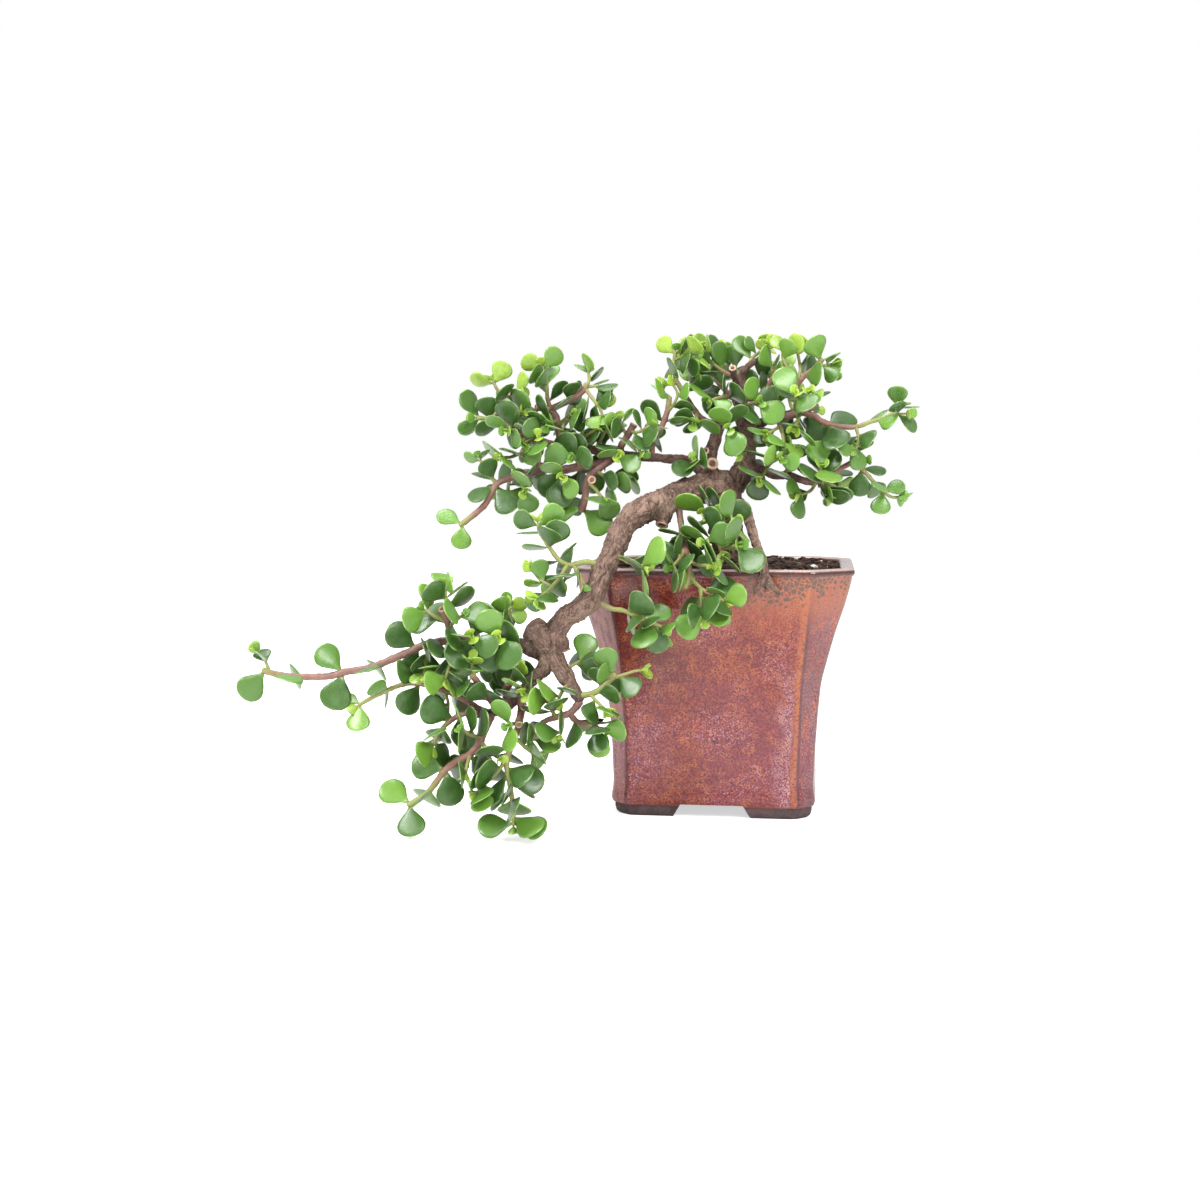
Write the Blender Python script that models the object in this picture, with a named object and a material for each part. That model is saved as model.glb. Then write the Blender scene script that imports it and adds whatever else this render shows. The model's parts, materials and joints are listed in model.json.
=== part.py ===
import math
import random

import bpy
import bmesh
from mathutils import Vector
from mathutils.bvhtree import BVHTree

# A dwarf jade bonsai trained as a cascade in a tall square pot.
# Driving sizes, in millimetres.  The pot stands on z = 0 and its axis is x = y = 0.
MM = 0.001
RIM_WIDTH = 160.0
BASE_WIDTH = 115.0
POT_HEIGHT = 145.0
WALL = 8.0
GAP = 0.3

# The pot: a square with cut corners that flares in its upper part.
RIM_CUT = 21.8
BASE_CUT = 8.75
EDGE_ROUND = 2.2
FLARE = ((0.16, 0.045), (0.28, 0.07), (0.42, 0.13), (0.55, 0.22), (0.66, 0.40),
         (0.76, 0.58), (0.85, 0.78), (0.92, 0.90), (0.965, 0.96))
NOTCH_HEIGHT = 7.7
NOTCH_TOP = 36.0
NOTCH_BOTTOM = 46.0
FLOOR_TOP = 18.0
DRAIN_RADIUS = 8.0
LIP_HEIGHT = 4.4
LIP_OUT = 0.9

# The soil: filled to the rim and heaped a little round the trunk.
SOIL_EDGE = POT_HEIGHT - 3.4
SOIL_HEAP = POT_HEIGHT + 1.4
SOIL_LUMP = 0.8
TRUNK_FOOT = 10.5

# The plant is laid out on the sight lines of a viewer standing a metre in front of the pot:
# across and up in the upright plane through the pot's axis, then so far toward the viewer.
VIEW_TURN = 0.135
EYE_DISTANCE = 1000.0
EYE_HEIGHT = 200.0
EYE_ACROSS = -72.0
ACROSS = Vector((math.cos(VIEW_TURN), math.sin(VIEW_TURN), 0.0))
AWAY = Vector((-math.sin(VIEW_TURN), math.cos(VIEW_TURN), 0.0))
UP = Vector((0.0, 0.0, 1.0))
EYE = ACROSS * EYE_ACROSS - AWAY * EYE_DISTANCE + UP * EYE_HEIGHT

# The blades roll toward the light, which reached the plant from its front and above.
LIGHT = (UP * 0.45 - AWAY).normalized()

# Leaves: fleshy, broadest beyond the middle, rounded at the tip.
LEAF_WIDTH = 0.93
LEAF_THICK = 0.13
LEAF_LOWEST = 1.2
CLEAR = 0.45
TRIES = 9


def place(across, up, toward):
    spot = ACROSS * across + UP * up
    return spot + (EYE - spot) * (toward / EYE_DISTANCE)


# The trunk and the woody limbs: (across, up, toward, radius) along each one's middle line.
TRUNK = ((5, 97, 4, 10.5), (5, 120, 4, 10.5), (5, 143, 4, 10.5), (5, 149, 4, 10.5),
         (4.5, 160, 9, 9.4), (4, 174, 18, 9.0), (4, 184, 28, 9.4), (1, 190.5, 35, 9.4),
         (-4, 191, 40, 9.2), (-14, 188, 45, 8.6), (-24, 185, 50, 8.1), (-34, 181, 56, 8.0),
         (-45, 176.5, 63, 7.7), (-53, 171.5, 70, 7.3), (-59, 164, 77, 7.0), (-62.5, 155, 84, 6.7),
         (-66.5, 146, 89, 6.4), (-71, 138, 93, 6.2), (-73.5, 130, 95, 6.4), (-78, 122, 96, 6.6),
         (-85, 116, 97, 6.3), (-92, 111.5, 97, 6.0), (-97, 106, 97, 6.2), (-100.5, 99, 97, 6.6),
         (-101.5, 91, 97, 6.6), (-102, 86, 97, 5.4))
LIMBS = (
    ((-101.5, 90, 97, 5.5), (-106, 80, 96, 4.4), (-111, 75, 95, 3.8), (-116, 70, 94, 3.3),
     (-121, 63, 93, 3.0), (-128, 57, 93, 2.8), (-136, 53.5, 93, 2.6), (-146, 51.5, 93, 2.3)),
    ((-101.5, 90, 97, 5.5), (-97, 82, 98, 5.0), (-93, 75, 99, 4.4), (-88, 67.5, 100, 3.6),
     (-84, 60, 101, 2.8)),
    ((-102, 92, 97, 6.6), (-107, 99, 98, 7.3), (-113.5, 105, 100, 6.7)),
    ((-103, 88, 96, 5.0), (-110, 91, 88, 4.6), (-120, 94.5, 84, 3.9), (-134, 96, 84, 3.3),
     (-150, 97, 86, 2.9), (-165, 97, 88, 2.6)),
    ((5, 187, 30, 7.8), (11, 195, 31, 6.8), (16, 206, 28, 5.2), (16.5, 219, 25, 4.6),
     (13.5, 232, 22, 4.4), (11.5, 244, 22, 4.4), (11.5, 256, 22, 4.3)),
    ((-4, 190, 39, 6.0), (-5.5, 200, 40, 5.0), (-5.5, 209, 40, 3.9), (-3, 218, 38, 3.5),
     (0, 228, 36, 3.2), (2, 236.5, 34, 3.0)),
    ((-7, 194, 38, 5.0), (-13, 202, 38, 3.4), (-21, 206.5, 39, 2.7), (-31, 207, 38, 2.5),
     (-41, 208, 37, 2.5), (-60, 209.5, 36, 2.5), (-80, 213, 34, 2.5), (-95, 214.5, 32, 2.4)),
    ((14, 200, 30, 4.0), (24, 201, 30, 2.8), (33, 197.5, 31, 2.6), (41, 197, 31, 2.5),
     (49, 194.5, 32, 2.3)),
    ((17, 221, 25, 4.0), (27, 229.5, 26, 2.9), (37, 232, 28, 2.5)),
    ((11, 250, 22, 2.6), (8.5, 256, 30, 1.9), (7.5, 261, 37, 1.9)),
    ((11.5, 254, 22, 2.4), (15.5, 261, 26, 1.9), (21, 265.5, 28, 2.0)),
    ((-5.5, 202, 40, 4.2), (-4.5, 204, 48, 3.2)),
    ((-5, 208, 40, 3.0), (-8.5, 211.5, 46, 2.1)),
    ((0, 230, 36, 2.6), (-3.5, 234.5, 43, 1.9)),
    ((-31, 182, 55, 6.0), (-33, 174, 60, 4.9), (-34.5, 168, 63, 3.4)),
    ((-96, 97, 97, 5.0), (-94, 91.5, 97, 3.2)),
    ((7, 183, 27, 5.0), (13.5, 178, 42, 3.8), (17.5, 171, 58, 3.0), (21, 160, 76, 2.6),
     (24.5, 150, 86.5, 2.6), (27, 141, 89.2, 2.5), (28.5, 134, 87.4, 2.5), (30, 128, 85.8, 1.9)),
    ((27.5, 138, 89, 2.4), (24.5, 131, 87.4, 1.7), (21.5, 126, 86.2, 1.1)),
    ((28.5, 136, 88.4, 2.4), (33, 130, 86.4, 1.8), (37, 125.5, 85.3, 1.1)),
)

# One row for each leafy branch.  Each stem has its middle line, its thickness (radius at the
# root and at the tip), its leaf pairs, how far out the first pair stands, the leaf length at
# the first and the last pair, and the turn of the last pair about the stem (0 is level).
# The first stem of a branch springs from the wood; the others spring from the stems before.
BRANCHES = {
    "branch_left_upper": (
        (((-95, 214.5, 32), (-97, 224, 30), (-98, 231, 29), (-102, 236.5, 29), (-110, 237.5, 31)),
         (2.2, 1.9), 0, 0, (0, 0), 0),
        (((-101, 236.5, 29), (-103.5, 243, 31), (-104, 252, 33), (-105.5, 258, 34),
          (-106.5, 262, 34)), (1.4, 0.8), 3, 6, (16, 14), 0),
        (((-101, 237, 29), (-93.5, 240.5, 34), (-86, 244.5, 37), (-81, 249, 38),
          (-80, 252, 38)), (1.9, 1.7), 2, 9, (18, 16), 60),
        (((-80.5, 249, 38), (-78.5, 254, 36), (-79, 259, 35)), (1.1, 0.8), 2, 3, (15, 14), 80),
        (((-80, 249, 38), (-76, 242.5, 42), (-72, 237, 44), (-70.5, 232.5, 45)),
         (1.1, 0.8), 2, 5, (15, 12), 10),
        (((-80, 250, 38), (-74, 250.5, 36), (-69, 249.5, 35)), (1.0, 0.7), 2, 5, (14, 12), 70),
        (((-98, 229, 29), (-101, 229, 38), (-103, 227.5, 46)), (1.3, 0.9), 2, 5, (19, 15), 35),
        (((-97.5, 226, 29.5), (-94, 230, 37), (-90, 233, 43)), (1.2, 0.9), 2, 6, (20, 18), 80),
        (((-97, 222, 30), (-94, 226, 20), (-91, 230, 12)), (1.2, 0.8), 2, 5, (18, 15), 30),
    ),
    "branch_left_far": (
        (((-95, 214.5, 32), (-108, 217.5, 30), (-120, 222, 29), (-128, 227, 29),
          (-133, 234, 29)), (2.4, 2.3), 0, 0, (0, 0), 0),
        (((-132, 233, 29), (-131.5, 240, 31), (-131.5, 245, 33), (-134, 249, 34),
          (-136, 253, 34)), (1.3, 0.8), 2, 5, (18, 13), 10),
        (((-131.5, 243, 32), (-126, 245, 35), (-121, 246, 37)), (0.9, 0.7), 2, 4, (15, 12), 90),
        (((-121, 222.5, 29), (-124.5, 224.5, 38), (-127.5, 224, 46)), (1.2, 0.8), 2, 5,
         (18, 15), 40),
        (((-128, 227, 29), (-135, 229, 33), (-141, 231, 35), (-146, 231.5, 36)), (1.3, 1.3), 2, 5,
         (18, 16), 80),
        (((-126, 226, 29), (-122, 231, 34), (-119, 234, 38)), (1.2, 0.9), 2, 5, (19, 18), 50),
        (((-105, 216.8, 30.5), (-106, 218, 40), (-108, 220, 47)), (1.2, 0.9), 2, 5, (19, 16), 80),
        (((-112, 219, 30), (-115, 217.5, 38), (-117, 216, 45)), (1.2, 0.9), 2, 5, (19, 15), 20),
        (((-112, 219, 30), (-113, 222, 21), (-112, 227, 13)), (1.2, 0.8), 2, 5, (18, 15), 0),
    ),
    "branch_left_lower": (
        (((-62, 209, 36), (-72, 204.5, 38), (-84, 202.5, 38), (-95, 200.5, 36), (-106, 202, 34),
          (-113, 206, 33), (-118, 211, 32)), (2.7, 2.3), 0, 0, (0, 0), 0),
        (((-117, 210, 32), (-122, 209.5, 35), (-126, 208, 38), (-130, 208, 41)), (1.2, 0.8), 2, 5,
         (18, 15), 30),
        (((-94, 200.5, 36), (-95, 198, 45), (-95, 196.5, 53)), (1.3, 0.9), 2, 5, (19, 15), 45),
        (((-84, 202.5, 38), (-86, 206, 46), (-88, 207, 50)), (1.2, 0.9), 2, 4, (19, 16), 0),
        (((-106, 202, 34), (-112, 198.5, 36), (-120, 197, 38), (-128, 195, 40), (-134, 192, 42),
          (-138, 185.5, 43), (-141, 180, 44), (-145.5, 175.5, 45), (-151, 171, 46),
          (-156.5, 167, 46)), (2.1, 1.6), 2, 33, (18, 14), 75),
        (((-134, 192, 42), (-138.5, 197, 41), (-142, 202, 40), (-144.5, 207, 39)), (1.2, 0.8), 2,
         4, (16, 11), 20),
        (((-121, 197, 38), (-119.5, 193.5, 46), (-118, 189, 53)), (1.2, 0.9), 2, 4, (19, 15), 60),
        (((-126, 196, 39), (-127, 192, 34), (-128, 187, 30)), (1.1, 0.9), 2, 4, (18, 14), 0),
        (((-106, 202, 34), (-108, 200, 25), (-110, 196, 16)), (1.2, 0.8), 2, 5, (18, 15), 0),
        (((-86, 202.5, 38), (-85, 200, 28), (-84, 195, 20)), (1.2, 0.8), 2, 5, (18, 15), 0),
    ),
    "branch_red_lower": (
        (((-60, 209.5, 36), (-67, 205, 43), (-74, 200, 46), (-79, 195.5, 47), (-80.5, 187, 47),
          (-81.5, 181, 47), (-83, 175.5, 47)), (1.9, 2.0), 2, 22, (19, 19), 0),
        (((-78, 196, 47), (-77, 194.5, 55)), (2.0, 2.1), 0, 0, (0, 0), 0),
        (((-74, 200, 46), (-70, 197, 48), (-65, 193.5, 49)), (1.1, 0.9), 2, 5, (16, 16), 80),
        (((-79.5, 193, 47), (-75, 189, 50), (-71, 184, 52)), (1.1, 0.9), 2, 5, (19, 18), 20),
    ),
    "branch_red_upper": (
        (((-58, 209.5, 36), (-59.5, 214, 43), (-56, 220, 45), (-52, 227, 46)),
         (1.9, 2.0), 0, 0, (0, 0), 0),
        (((-56, 220.5, 45), (-58, 225, 46), (-59.5, 229, 47)), (1.0, 0.7), 2, 4, (14, 11), 10),
        (((-54, 223.5, 45.5), (-49.5, 223, 49), (-45, 225, 51), (-42, 227, 52)), (1.1, 0.7), 2, 4,
         (16, 11), 60),
        (((-57, 218, 44), (-52, 216, 49), (-48, 212, 52)), (1.1, 0.8), 2, 5, (18, 16), 80),
    ),
    "shoot_left_a": (
        (((-41, 208, 37), (-40, 217, 40), (-36, 224, 41), (-33, 231, 41), (-31, 238, 41),
          (-30.5, 244, 41)), (1.7, 1.6), 3, 9, (15, 18), 85),
        (((-32, 235, 41), (-27.5, 240, 43), (-25.5, 246, 43), (-28, 251, 42)), (0.9, 0.7), 2, 5,
         (14, 8), 0),
    ),
    "shoot_left_b": (
        (((-50, 208.7, 36.5), (-53, 204, 44), (-55, 198.5, 49)), (1.3, 0.9), 2, 5, (19, 15), 20),
    ),
    "shoot_left_c": (
        (((-64, 210, 36), (-62.5, 209.5, 47), (-61.5, 209, 55)), (1.3, 0.9), 2, 5, (19, 16), 10),
    ),
    "shoot_left_d": (
        (((-82, 213.3, 34), (-83, 218, 39), (-79.5, 221.5, 43), (-75, 224.5, 46)), (1.4, 0.9), 2,
         5, (18, 15), 80),
    ),
    "shoot_left_e": (
        (((-72, 211.5, 35), (-73, 215, 40), (-71, 220, 43), (-68, 225, 44)), (1.3, 0.9), 2, 5,
         (18, 15), 15),
    ),
    "shoot_left_g": (
        (((-70, 211.3, 35), (-70, 215, 26), (-71, 221, 17)), (1.2, 0.8), 2, 5, (18, 15), 20),
    ),
    "branch_tall_left": (
        (((0, 228, 36), (-7, 229, 33), (-12, 232, 32), (-18, 240, 31), (-24, 250, 31),
          (-29, 259, 32), (-27.5, 265, 33), (-27, 271, 33)), (2.1, 1.1), 2, 41, (16, 13), 0),
        (((-21, 245, 31), (-18, 250, 32), (-15, 253, 33)), (1.1, 0.9), 1, 4, (19, 19), 20),
        (((-25.5, 252, 31), (-29, 252.5, 33), (-31.5, 252, 34)), (0.9, 0.7), 2, 3, (9, 8), 80),
        (((-27.5, 266, 33), (-22, 268.5, 36), (-17, 269.5, 38)), (1.0, 0.8), 2, 4, (16, 14), 40),
        (((-14, 234, 32), (-14, 231, 41), (-15, 229, 48)), (1.1, 0.9), 2, 5, (18, 16), 10),
    ),
    "shoot_crown_a": (
        (((10, 255, 22), (3, 258.5, 22), (-3, 263, 22), (-7.5, 267, 22), (-9, 271, 22)),
         (1.6, 0.9), 2, 12, (18, 15), 15),
    ),
    "shoot_crown_b": (
        (((17, 262.5, 26.5), (19, 267, 20), (22.5, 270, 17), (26, 273, 16)), (1.2, 0.8), 2, 6,
         (15, 11), 40),
    ),
    "shoot_crown_c": (
        (((12, 253, 22), (9.5, 260, 15), (7, 267, 10), (6.5, 271, 8)), (1.3, 0.8), 2, 8,
         (16, 12), 20),
    ),
    "shoot_crown_d": (
        (((11, 243, 22), (5, 246, 15), (-3, 254.5, 10), (-9, 261, 8), (-15.5, 268, 7)),
         (1.5, 1.3), 2, 12, (15, 14), 60),
    ),
    "shoot_crown_e": (
        (((10, 243, 22), (4, 244, 31), (-1, 243.5, 37), (-5, 242, 41)), (1.2, 0.9), 2, 7,
         (16, 15), 70),
    ),
    "shoot_crown_f": (
        (((14.5, 238, 22), (19, 240, 31), (23, 241, 39)), (1.4, 0.9), 2, 8, (20, 16), 50),
    ),
    "shoot_crown_g": (
        (((13.5, 236, 22), (15, 240, 13), (14, 247, 4)), (1.3, 0.8), 2, 8, (18, 12), 20),
    ),
    "branch_right_up": (
        (((13, 243, 22), (20, 243.5, 23), (27, 247, 25), (31, 254, 27), (33.5, 259.5, 28),
          (39.5, 261.5, 29)), (2.1, 1.5), 2, 14, (15, 15), 30),
        (((32, 257, 28), (30.5, 263, 26), (29, 268, 25), (28.5, 273, 25)), (1.0, 0.7), 2, 5,
         (14, 9), 30),
        (((30, 251, 26), (33, 254, 18), (35, 260, 11)), (1.1, 0.8), 2, 5, (16, 12), 20),
    ),
    "branch_right_mid": (
        (((37, 232, 28), (45, 233.5, 30), (52, 236, 32), (57.5, 240, 34)), (2.4, 1.7),
         0, 0, (0, 0), 0),
        (((47, 234.3, 30.7), (45.5, 243, 33), (43, 252, 35), (40, 261, 35), (37.5, 267.5, 34),
          (38, 272, 34)), (1.6, 1.0), 2, 12, (18, 13), 20),
        (((44, 248, 34), (50, 256, 36), (56.5, 261, 37), (61, 266.5, 37)), (1.5, 1.6), 2, 11,
         (16, 15), 60),
        (((58, 262.5, 37), (63, 263, 38), (66.5, 263.5, 38)), (0.9, 0.7), 2, 4, (13, 8), 20),
        (((46, 252, 35), (48, 260, 33), (47, 267, 31), (46, 271, 31)), (1.0, 0.8), 2, 5,
         (15, 12), 70),
        (((50, 235.5, 31.5), (52.5, 241, 39), (53, 246, 45)), (1.2, 0.9), 2, 6, (18, 16), 75),
        (((48, 234.6, 31), (46.5, 229, 38), (45, 225.5, 45)), (1.2, 0.9), 2, 5, (18, 15), 30),
        (((47.5, 234.5, 30.8), (45, 238, 39), (45.5, 245, 49)), (1.1, 0.9), 2, 10, (18, 18), 60),
        (((52, 236, 32), (55, 234, 24), (58, 235, 16)), (1.1, 0.8), 2, 5, (18, 15), 30),
        (((46.5, 234.1, 30.5), (43, 238, 21), (41, 245, 12)), (1.2, 0.8), 2, 5, (18, 12), 30),
        (((49, 235, 31), (56, 233, 35), (61, 229.5, 37), (67, 227.5, 38), (75, 226, 38),
          (83, 226.5, 38), (90, 229, 38), (97, 231, 38), (103, 234, 38), (107.5, 238.5, 38)),
         (1.9, 0.9), 4, 19, (19, 13), 60),
        (((82, 226.5, 38), (83.5, 219, 41), (81.5, 213, 42)), (1.0, 0.8), 2, 6, (15, 13), 30),
        (((103, 234, 38), (108, 234, 41), (111, 234, 43)), (0.8, 0.6), 1, 4, (14, 11), 60),
    ),
    "branch_right_low": (
        (((49, 194.5, 32), (56, 193, 33), (62, 195, 34), (70, 199.5, 34), (76, 203, 34),
          (80.5, 205, 34), (86.5, 206, 35)), (2.2, 1.4), 0, 0, (0, 0), 0),
        (((80, 205, 34), (84, 202, 35), (88, 198.5, 36), (93, 193, 37), (99, 187, 38),
          (104, 184, 38), (107.5, 184, 38)), (1.4, 0.8), 4, 7, (15, 11), 10),
        (((79.5, 205, 34), (79.5, 209, 37), (81, 213, 39)), (1.1, 0.8), 2, 4, (16, 12), 75),
        (((58, 193.3, 33.3), (60, 198, 40), (61, 202, 45)), (1.3, 0.9), 2, 5, (20, 18), 80),
        (((61, 194.5, 34), (63.5, 190, 38), (65, 186, 41)), (1.3, 0.9), 2, 5, (19, 18), 85),
        (((62, 195, 34), (66, 192, 33), (70.5, 189.5, 32)), (1.4, 1.2), 1, 5, (15, 15), 40),
        (((58.5, 193.4, 33.4), (55, 188, 37), (49, 185.5, 39)), (1.1, 0.8), 2, 4, (15, 14), 80),
        (((70, 199.5, 34), (70, 197, 26), (71, 192, 19)), (1.1, 0.8), 2, 5, (16, 12), 20),
        (((60, 194, 33.7), (60, 199, 25), (60, 205, 18)), (1.1, 0.8), 2, 5, (16, 12), 60),
    ),
    "shoot_right_a": (
        (((34, 231.4, 27.6), (36, 227, 34), (38, 221, 41), (38.5, 216, 44)), (1.5, 0.9), 2, 8,
         (15, 13), 10),
        (((36.3, 226.3, 35), (33, 224.5, 40), (29.5, 222.5, 45)), (1.0, 0.8), 2, 5, (16, 14), 40),
    ),
    "shoot_right_b": (
        (((27, 200, 30), (30, 204, 38), (33, 206, 45), (35.5, 207, 50)), (1.4, 0.9), 2, 6,
         (18, 13), 20),
        (((29, 203, 36), (27, 199, 42), (25, 196, 46)), (1.1, 0.8), 2, 5, (19, 16), 50),
    ),
    "shoot_right_c": (
        (((38, 197.2, 31), (41, 201, 36), (42.5, 206, 39), (44, 211, 40)), (1.3, 0.9), 3, 5,
         (16, 12), 60),
    ),
    "shoot_front_a": (
        (((1, 229, 36), (4, 227, 47), (5, 225.5, 56)), (1.2, 0.9), 2, 7, (18, 16), 65),
    ),
    "shoot_front_b": (
        (((-6, 203, 40), (-11, 203, 46), (-14, 205.5, 50)), (1.3, 0.9), 2, 8, (18, 16), 75),
    ),
    "shoot_front_c": (
        (((17.5, 212, 27), (15, 211.5, 38), (12, 210, 46)), (1.4, 0.9), 2, 9, (20, 15), 65),
    ),
    "shoot_back_a": (
        (((16, 204, 29), (17, 208, 16), (19, 214, 6)), (1.3, 0.8), 2, 10, (19, 13), 20),
    ),
    "branch_middle_a": (
        (((-24, 181, 51), (-23, 167, 63), (-21, 155, 79), (-18.5, 145, 91), (-18.5, 136, 97),
          (-20.5, 129, 99)), (1.9, 1.6), 0, 0, (0, 0), 0),
        (((-18.5, 137, 96.5), (-13, 131, 99), (-8, 127, 100), (-2, 124.5, 101), (3, 121, 101)),
         (1.1, 0.8), 3, 4, (16, 16), 60),
        (((-11, 129.5, 99), (-10.5, 121, 102), (-9, 111, 102)), (1.1, 0.8), 2, 6, (18, 16), 20),
        (((-21, 153, 81), (-24, 147, 91), (-27.5, 143, 97)), (1.1, 0.8), 2, 5, (18, 15), 70),
        (((-18.5, 145, 91), (-12, 143, 97), (-6, 143, 100)), (1.0, 0.8), 2, 5, (19, 16), 60),
    ),
    "branch_middle_b": (
        (((0, 186, 37), (-2, 180, 50), (-2, 172, 60), (-1, 164, 68), (0, 156, 78), (2, 150, 88)),
         (1.6, 1.2), 0, 0, (0, 0), 0),
        (((-2, 177, 54), (-5, 176, 62), (-8, 174.5, 69)), (1.1, 0.9), 2, 5, (18, 19), 40),
        (((-1.5, 168, 64), (4, 169, 72), (8, 170, 79)), (1.1, 0.9), 2, 5, (18, 19), 70),
        (((-0.5, 160, 73), (-5, 159, 81), (-8, 157.5, 88)), (1.1, 0.9), 2, 5, (18, 18), 10),
        (((1, 153, 83), (7, 154, 90), (11, 155, 97)), (1.1, 0.9), 2, 5, (18, 18), 55),
        (((1.5, 151.5, 86), (0, 147, 94), (-2, 143, 101)), (1.1, 0.9), 2, 5, (18, 17), 80),
    ),
    "branch_middle_c": (
        (((-63, 150, 87), (-56, 145.5, 95), (-46, 142, 100)), (1.3, 0.9), 2, 10, (19, 18), 85),
    ),
    "branch_middle_d": (
        (((-75, 122, 96), (-66, 117, 97.5), (-58, 115.5, 99), (-50, 112, 100), (-41, 108, 101),
          (-34, 105.5, 101)), (1.6, 0.9), 3, 22, (18, 15), 45),
    ),
    "branch_knee": (
        (((-71, 143, 92), (-80, 145, 95), (-90, 143, 97), (-96, 145.5, 97), (-100, 150, 96),
          (-104, 156, 95), (-108.5, 163, 94), (-109.5, 168, 94)), (1.8, 0.9), 3, 23, (18, 15), 15),
        (((-92, 143.5, 97), (-96, 136, 102), (-103, 128, 106), (-109, 123, 111)), (1.2, 0.8), 2, 7,
         (19, 9), 45),
        (((-88, 143.5, 97), (-85, 138, 99), (-82, 132, 99)), (1.1, 0.9), 2, 4, (18, 15), 70),
        (((-101, 130.5, 104.5), (-108, 134, 103), (-113, 140, 102)), (0.9, 0.7), 2, 6, (11, 8), 10),
        (((-90, 143, 97), (-91, 139, 89), (-94, 133, 83)), (1.1, 0.8), 2, 4, (18, 15), 30),
    ),
    "branch_low_left": (
        (((-165, 97, 88), (-172, 96, 89), (-180, 94, 89.5), (-186, 91, 90), (-192, 88.5, 91),
          (-198, 86, 92), (-205, 83, 92), (-212, 80.5, 92), (-220, 79, 92), (-227, 78, 93),
          (-236, 75.5, 93), (-245, 75, 93), (-255, 75, 93), (-262, 75.5, 93), (-270, 77, 93),
          (-277, 79, 93)), (2.3, 1.7), 5, 18, (18, 18), 80),
        (((-272.5, 77.8, 93), (-275.5, 85, 93), (-279.5, 90, 93)), (1.0, 0.7), 2, 6, (12, 9), 0),
        (((-175, 95.5, 89), (-177, 88, 95), (-178, 81, 99), (-179, 76.5, 101)), (1.2, 0.8), 2, 5,
         (19, 9), 0),
    ),
    "shoot_low_a": (
        (((-162, 97, 87.6), (-164, 107, 96), (-167.5, 116, 103)), (2.0, 2.1), 0, 0, (0, 0), 0),
        (((-166, 112.5, 100.5), (-165.5, 121, 100), (-165.5, 129, 100)), (1.2, 0.7), 2, 4,
         (18, 15), 70),
        (((-164.5, 109, 98), (-172, 112, 101), (-178, 116, 102)), (1.2, 0.8), 2, 5, (18, 16), 60),
        (((-163.5, 105, 94.5), (-160, 109, 101), (-156, 112, 104)), (1.2, 0.9), 2, 5, (19, 16), 20),
    ),
    "shoot_low_b": (
        (((-149, 97, 86), (-150, 99, 97), (-150, 99.5, 106)), (1.5, 0.9), 2, 7, (21, 16), 25),
    ),
    "shoot_low_c": (
        (((-132, 96, 84), (-133, 97.5, 95), (-133.5, 98.5, 104)), (1.5, 0.9), 2, 7, (21, 18), 65),
    ),
    "shoot_low_d": (
        (((-121, 94.5, 84), (-124, 103, 84), (-127.5, 111, 85), (-126, 117.5, 85)), (1.3, 0.8), 2,
         8, (15, 9), 10),
    ),
    "shoot_low_e": (
        (((-158, 97, 87), (-161, 88, 96), (-164, 80, 102), (-166, 74, 104)), (1.4, 0.9), 2, 7,
         (19, 14), 50),
    ),
    "shoot_low_f": (
        (((-140, 96.4, 84.8), (-142, 90, 76), (-146, 84, 68)), (1.3, 0.8), 2, 6, (19, 13), 20),
    ),
    "shoot_low_h": (
        (((-134, 54.2, 93), (-139, 61, 98), (-144, 69, 102), (-150, 76, 105)), (1.7, 1.8), 2, 9,
         (19, 16), 60),
        (((-147, 73, 103.7), (-149, 79, 107), (-150, 83.5, 109)), (0.9, 0.7), 2, 4, (14, 8), 20),
    ),
    "shoot_low_i": (
        (((-127, 57.6, 93), (-129.5, 64, 99), (-127.5, 71, 104)), (1.9, 2.0), 1, 9, (19, 19), 60),
        (((-128, 68, 102), (-126, 74, 105), (-124, 79.5, 106)), (0.9, 0.7), 2, 4, (16, 9), 30),
    ),
    "branch_low_second": (
        (((-140, 52.4, 93), (-147, 56, 89), (-154, 61, 88), (-162, 65, 89), (-171, 68, 90),
          (-180, 70.5, 90), (-188, 71, 91), (-196, 69, 92), (-205, 65, 92), (-212, 61.5, 92),
          (-219, 57.5, 92)), (2.0, 1.1), 4, 26, (18, 14), 70),
        (((-179, 70.2, 90), (-184, 74, 92), (-189.5, 77.5, 93)), (1.2, 1.1), 1, 6, (18, 18), 30),
        (((-166, 66.4, 89.4), (-164.5, 59.5, 92), (-164.5, 53, 93)), (0.9, 0.8), 0, 0, (0, 0), 0),
        (((-158, 63, 88.5), (-159, 66, 80), (-162, 70, 72)), (1.2, 0.8), 2, 6, (16, 12), 30),
    ),
    "shoot_low_j": (
        (((-146, 51.5, 93), (-154, 52.5, 95), (-161, 49.5, 97), (-167, 44.5, 98), (-171, 39, 99),
          (-173.5, 33, 99)), (1.9, 1.0), 3, 12, (19, 18), 60),
    ),
    "branch_low_bottom": (
        (((-137, 53.4, 93), (-142, 43, 98), (-146, 33.5, 101), (-152, 27, 103), (-160, 23, 104),
          (-167, 17, 105), (-173, 9, 105), (-178, 3, 105), (-184, -1, 105), (-189.5, -4, 105)),
         (2.3, 1.6), 4, 30, (20, 18), 75),
        (((-145, 35, 100.5), (-139, 29, 106), (-134.5, 25.5, 111)), (1.3, 0.9), 2, 6, (18, 18), 30),
        (((-151.5, 27.4, 102.8), (-153, 21, 109), (-154, 16, 112)), (1.2, 0.9), 2, 5, (19, 18), 80),
        (((-144, 38, 99.4), (-150, 39, 106), (-155, 42, 110)), (1.2, 0.9), 2, 5, (19, 16), 50),
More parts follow.
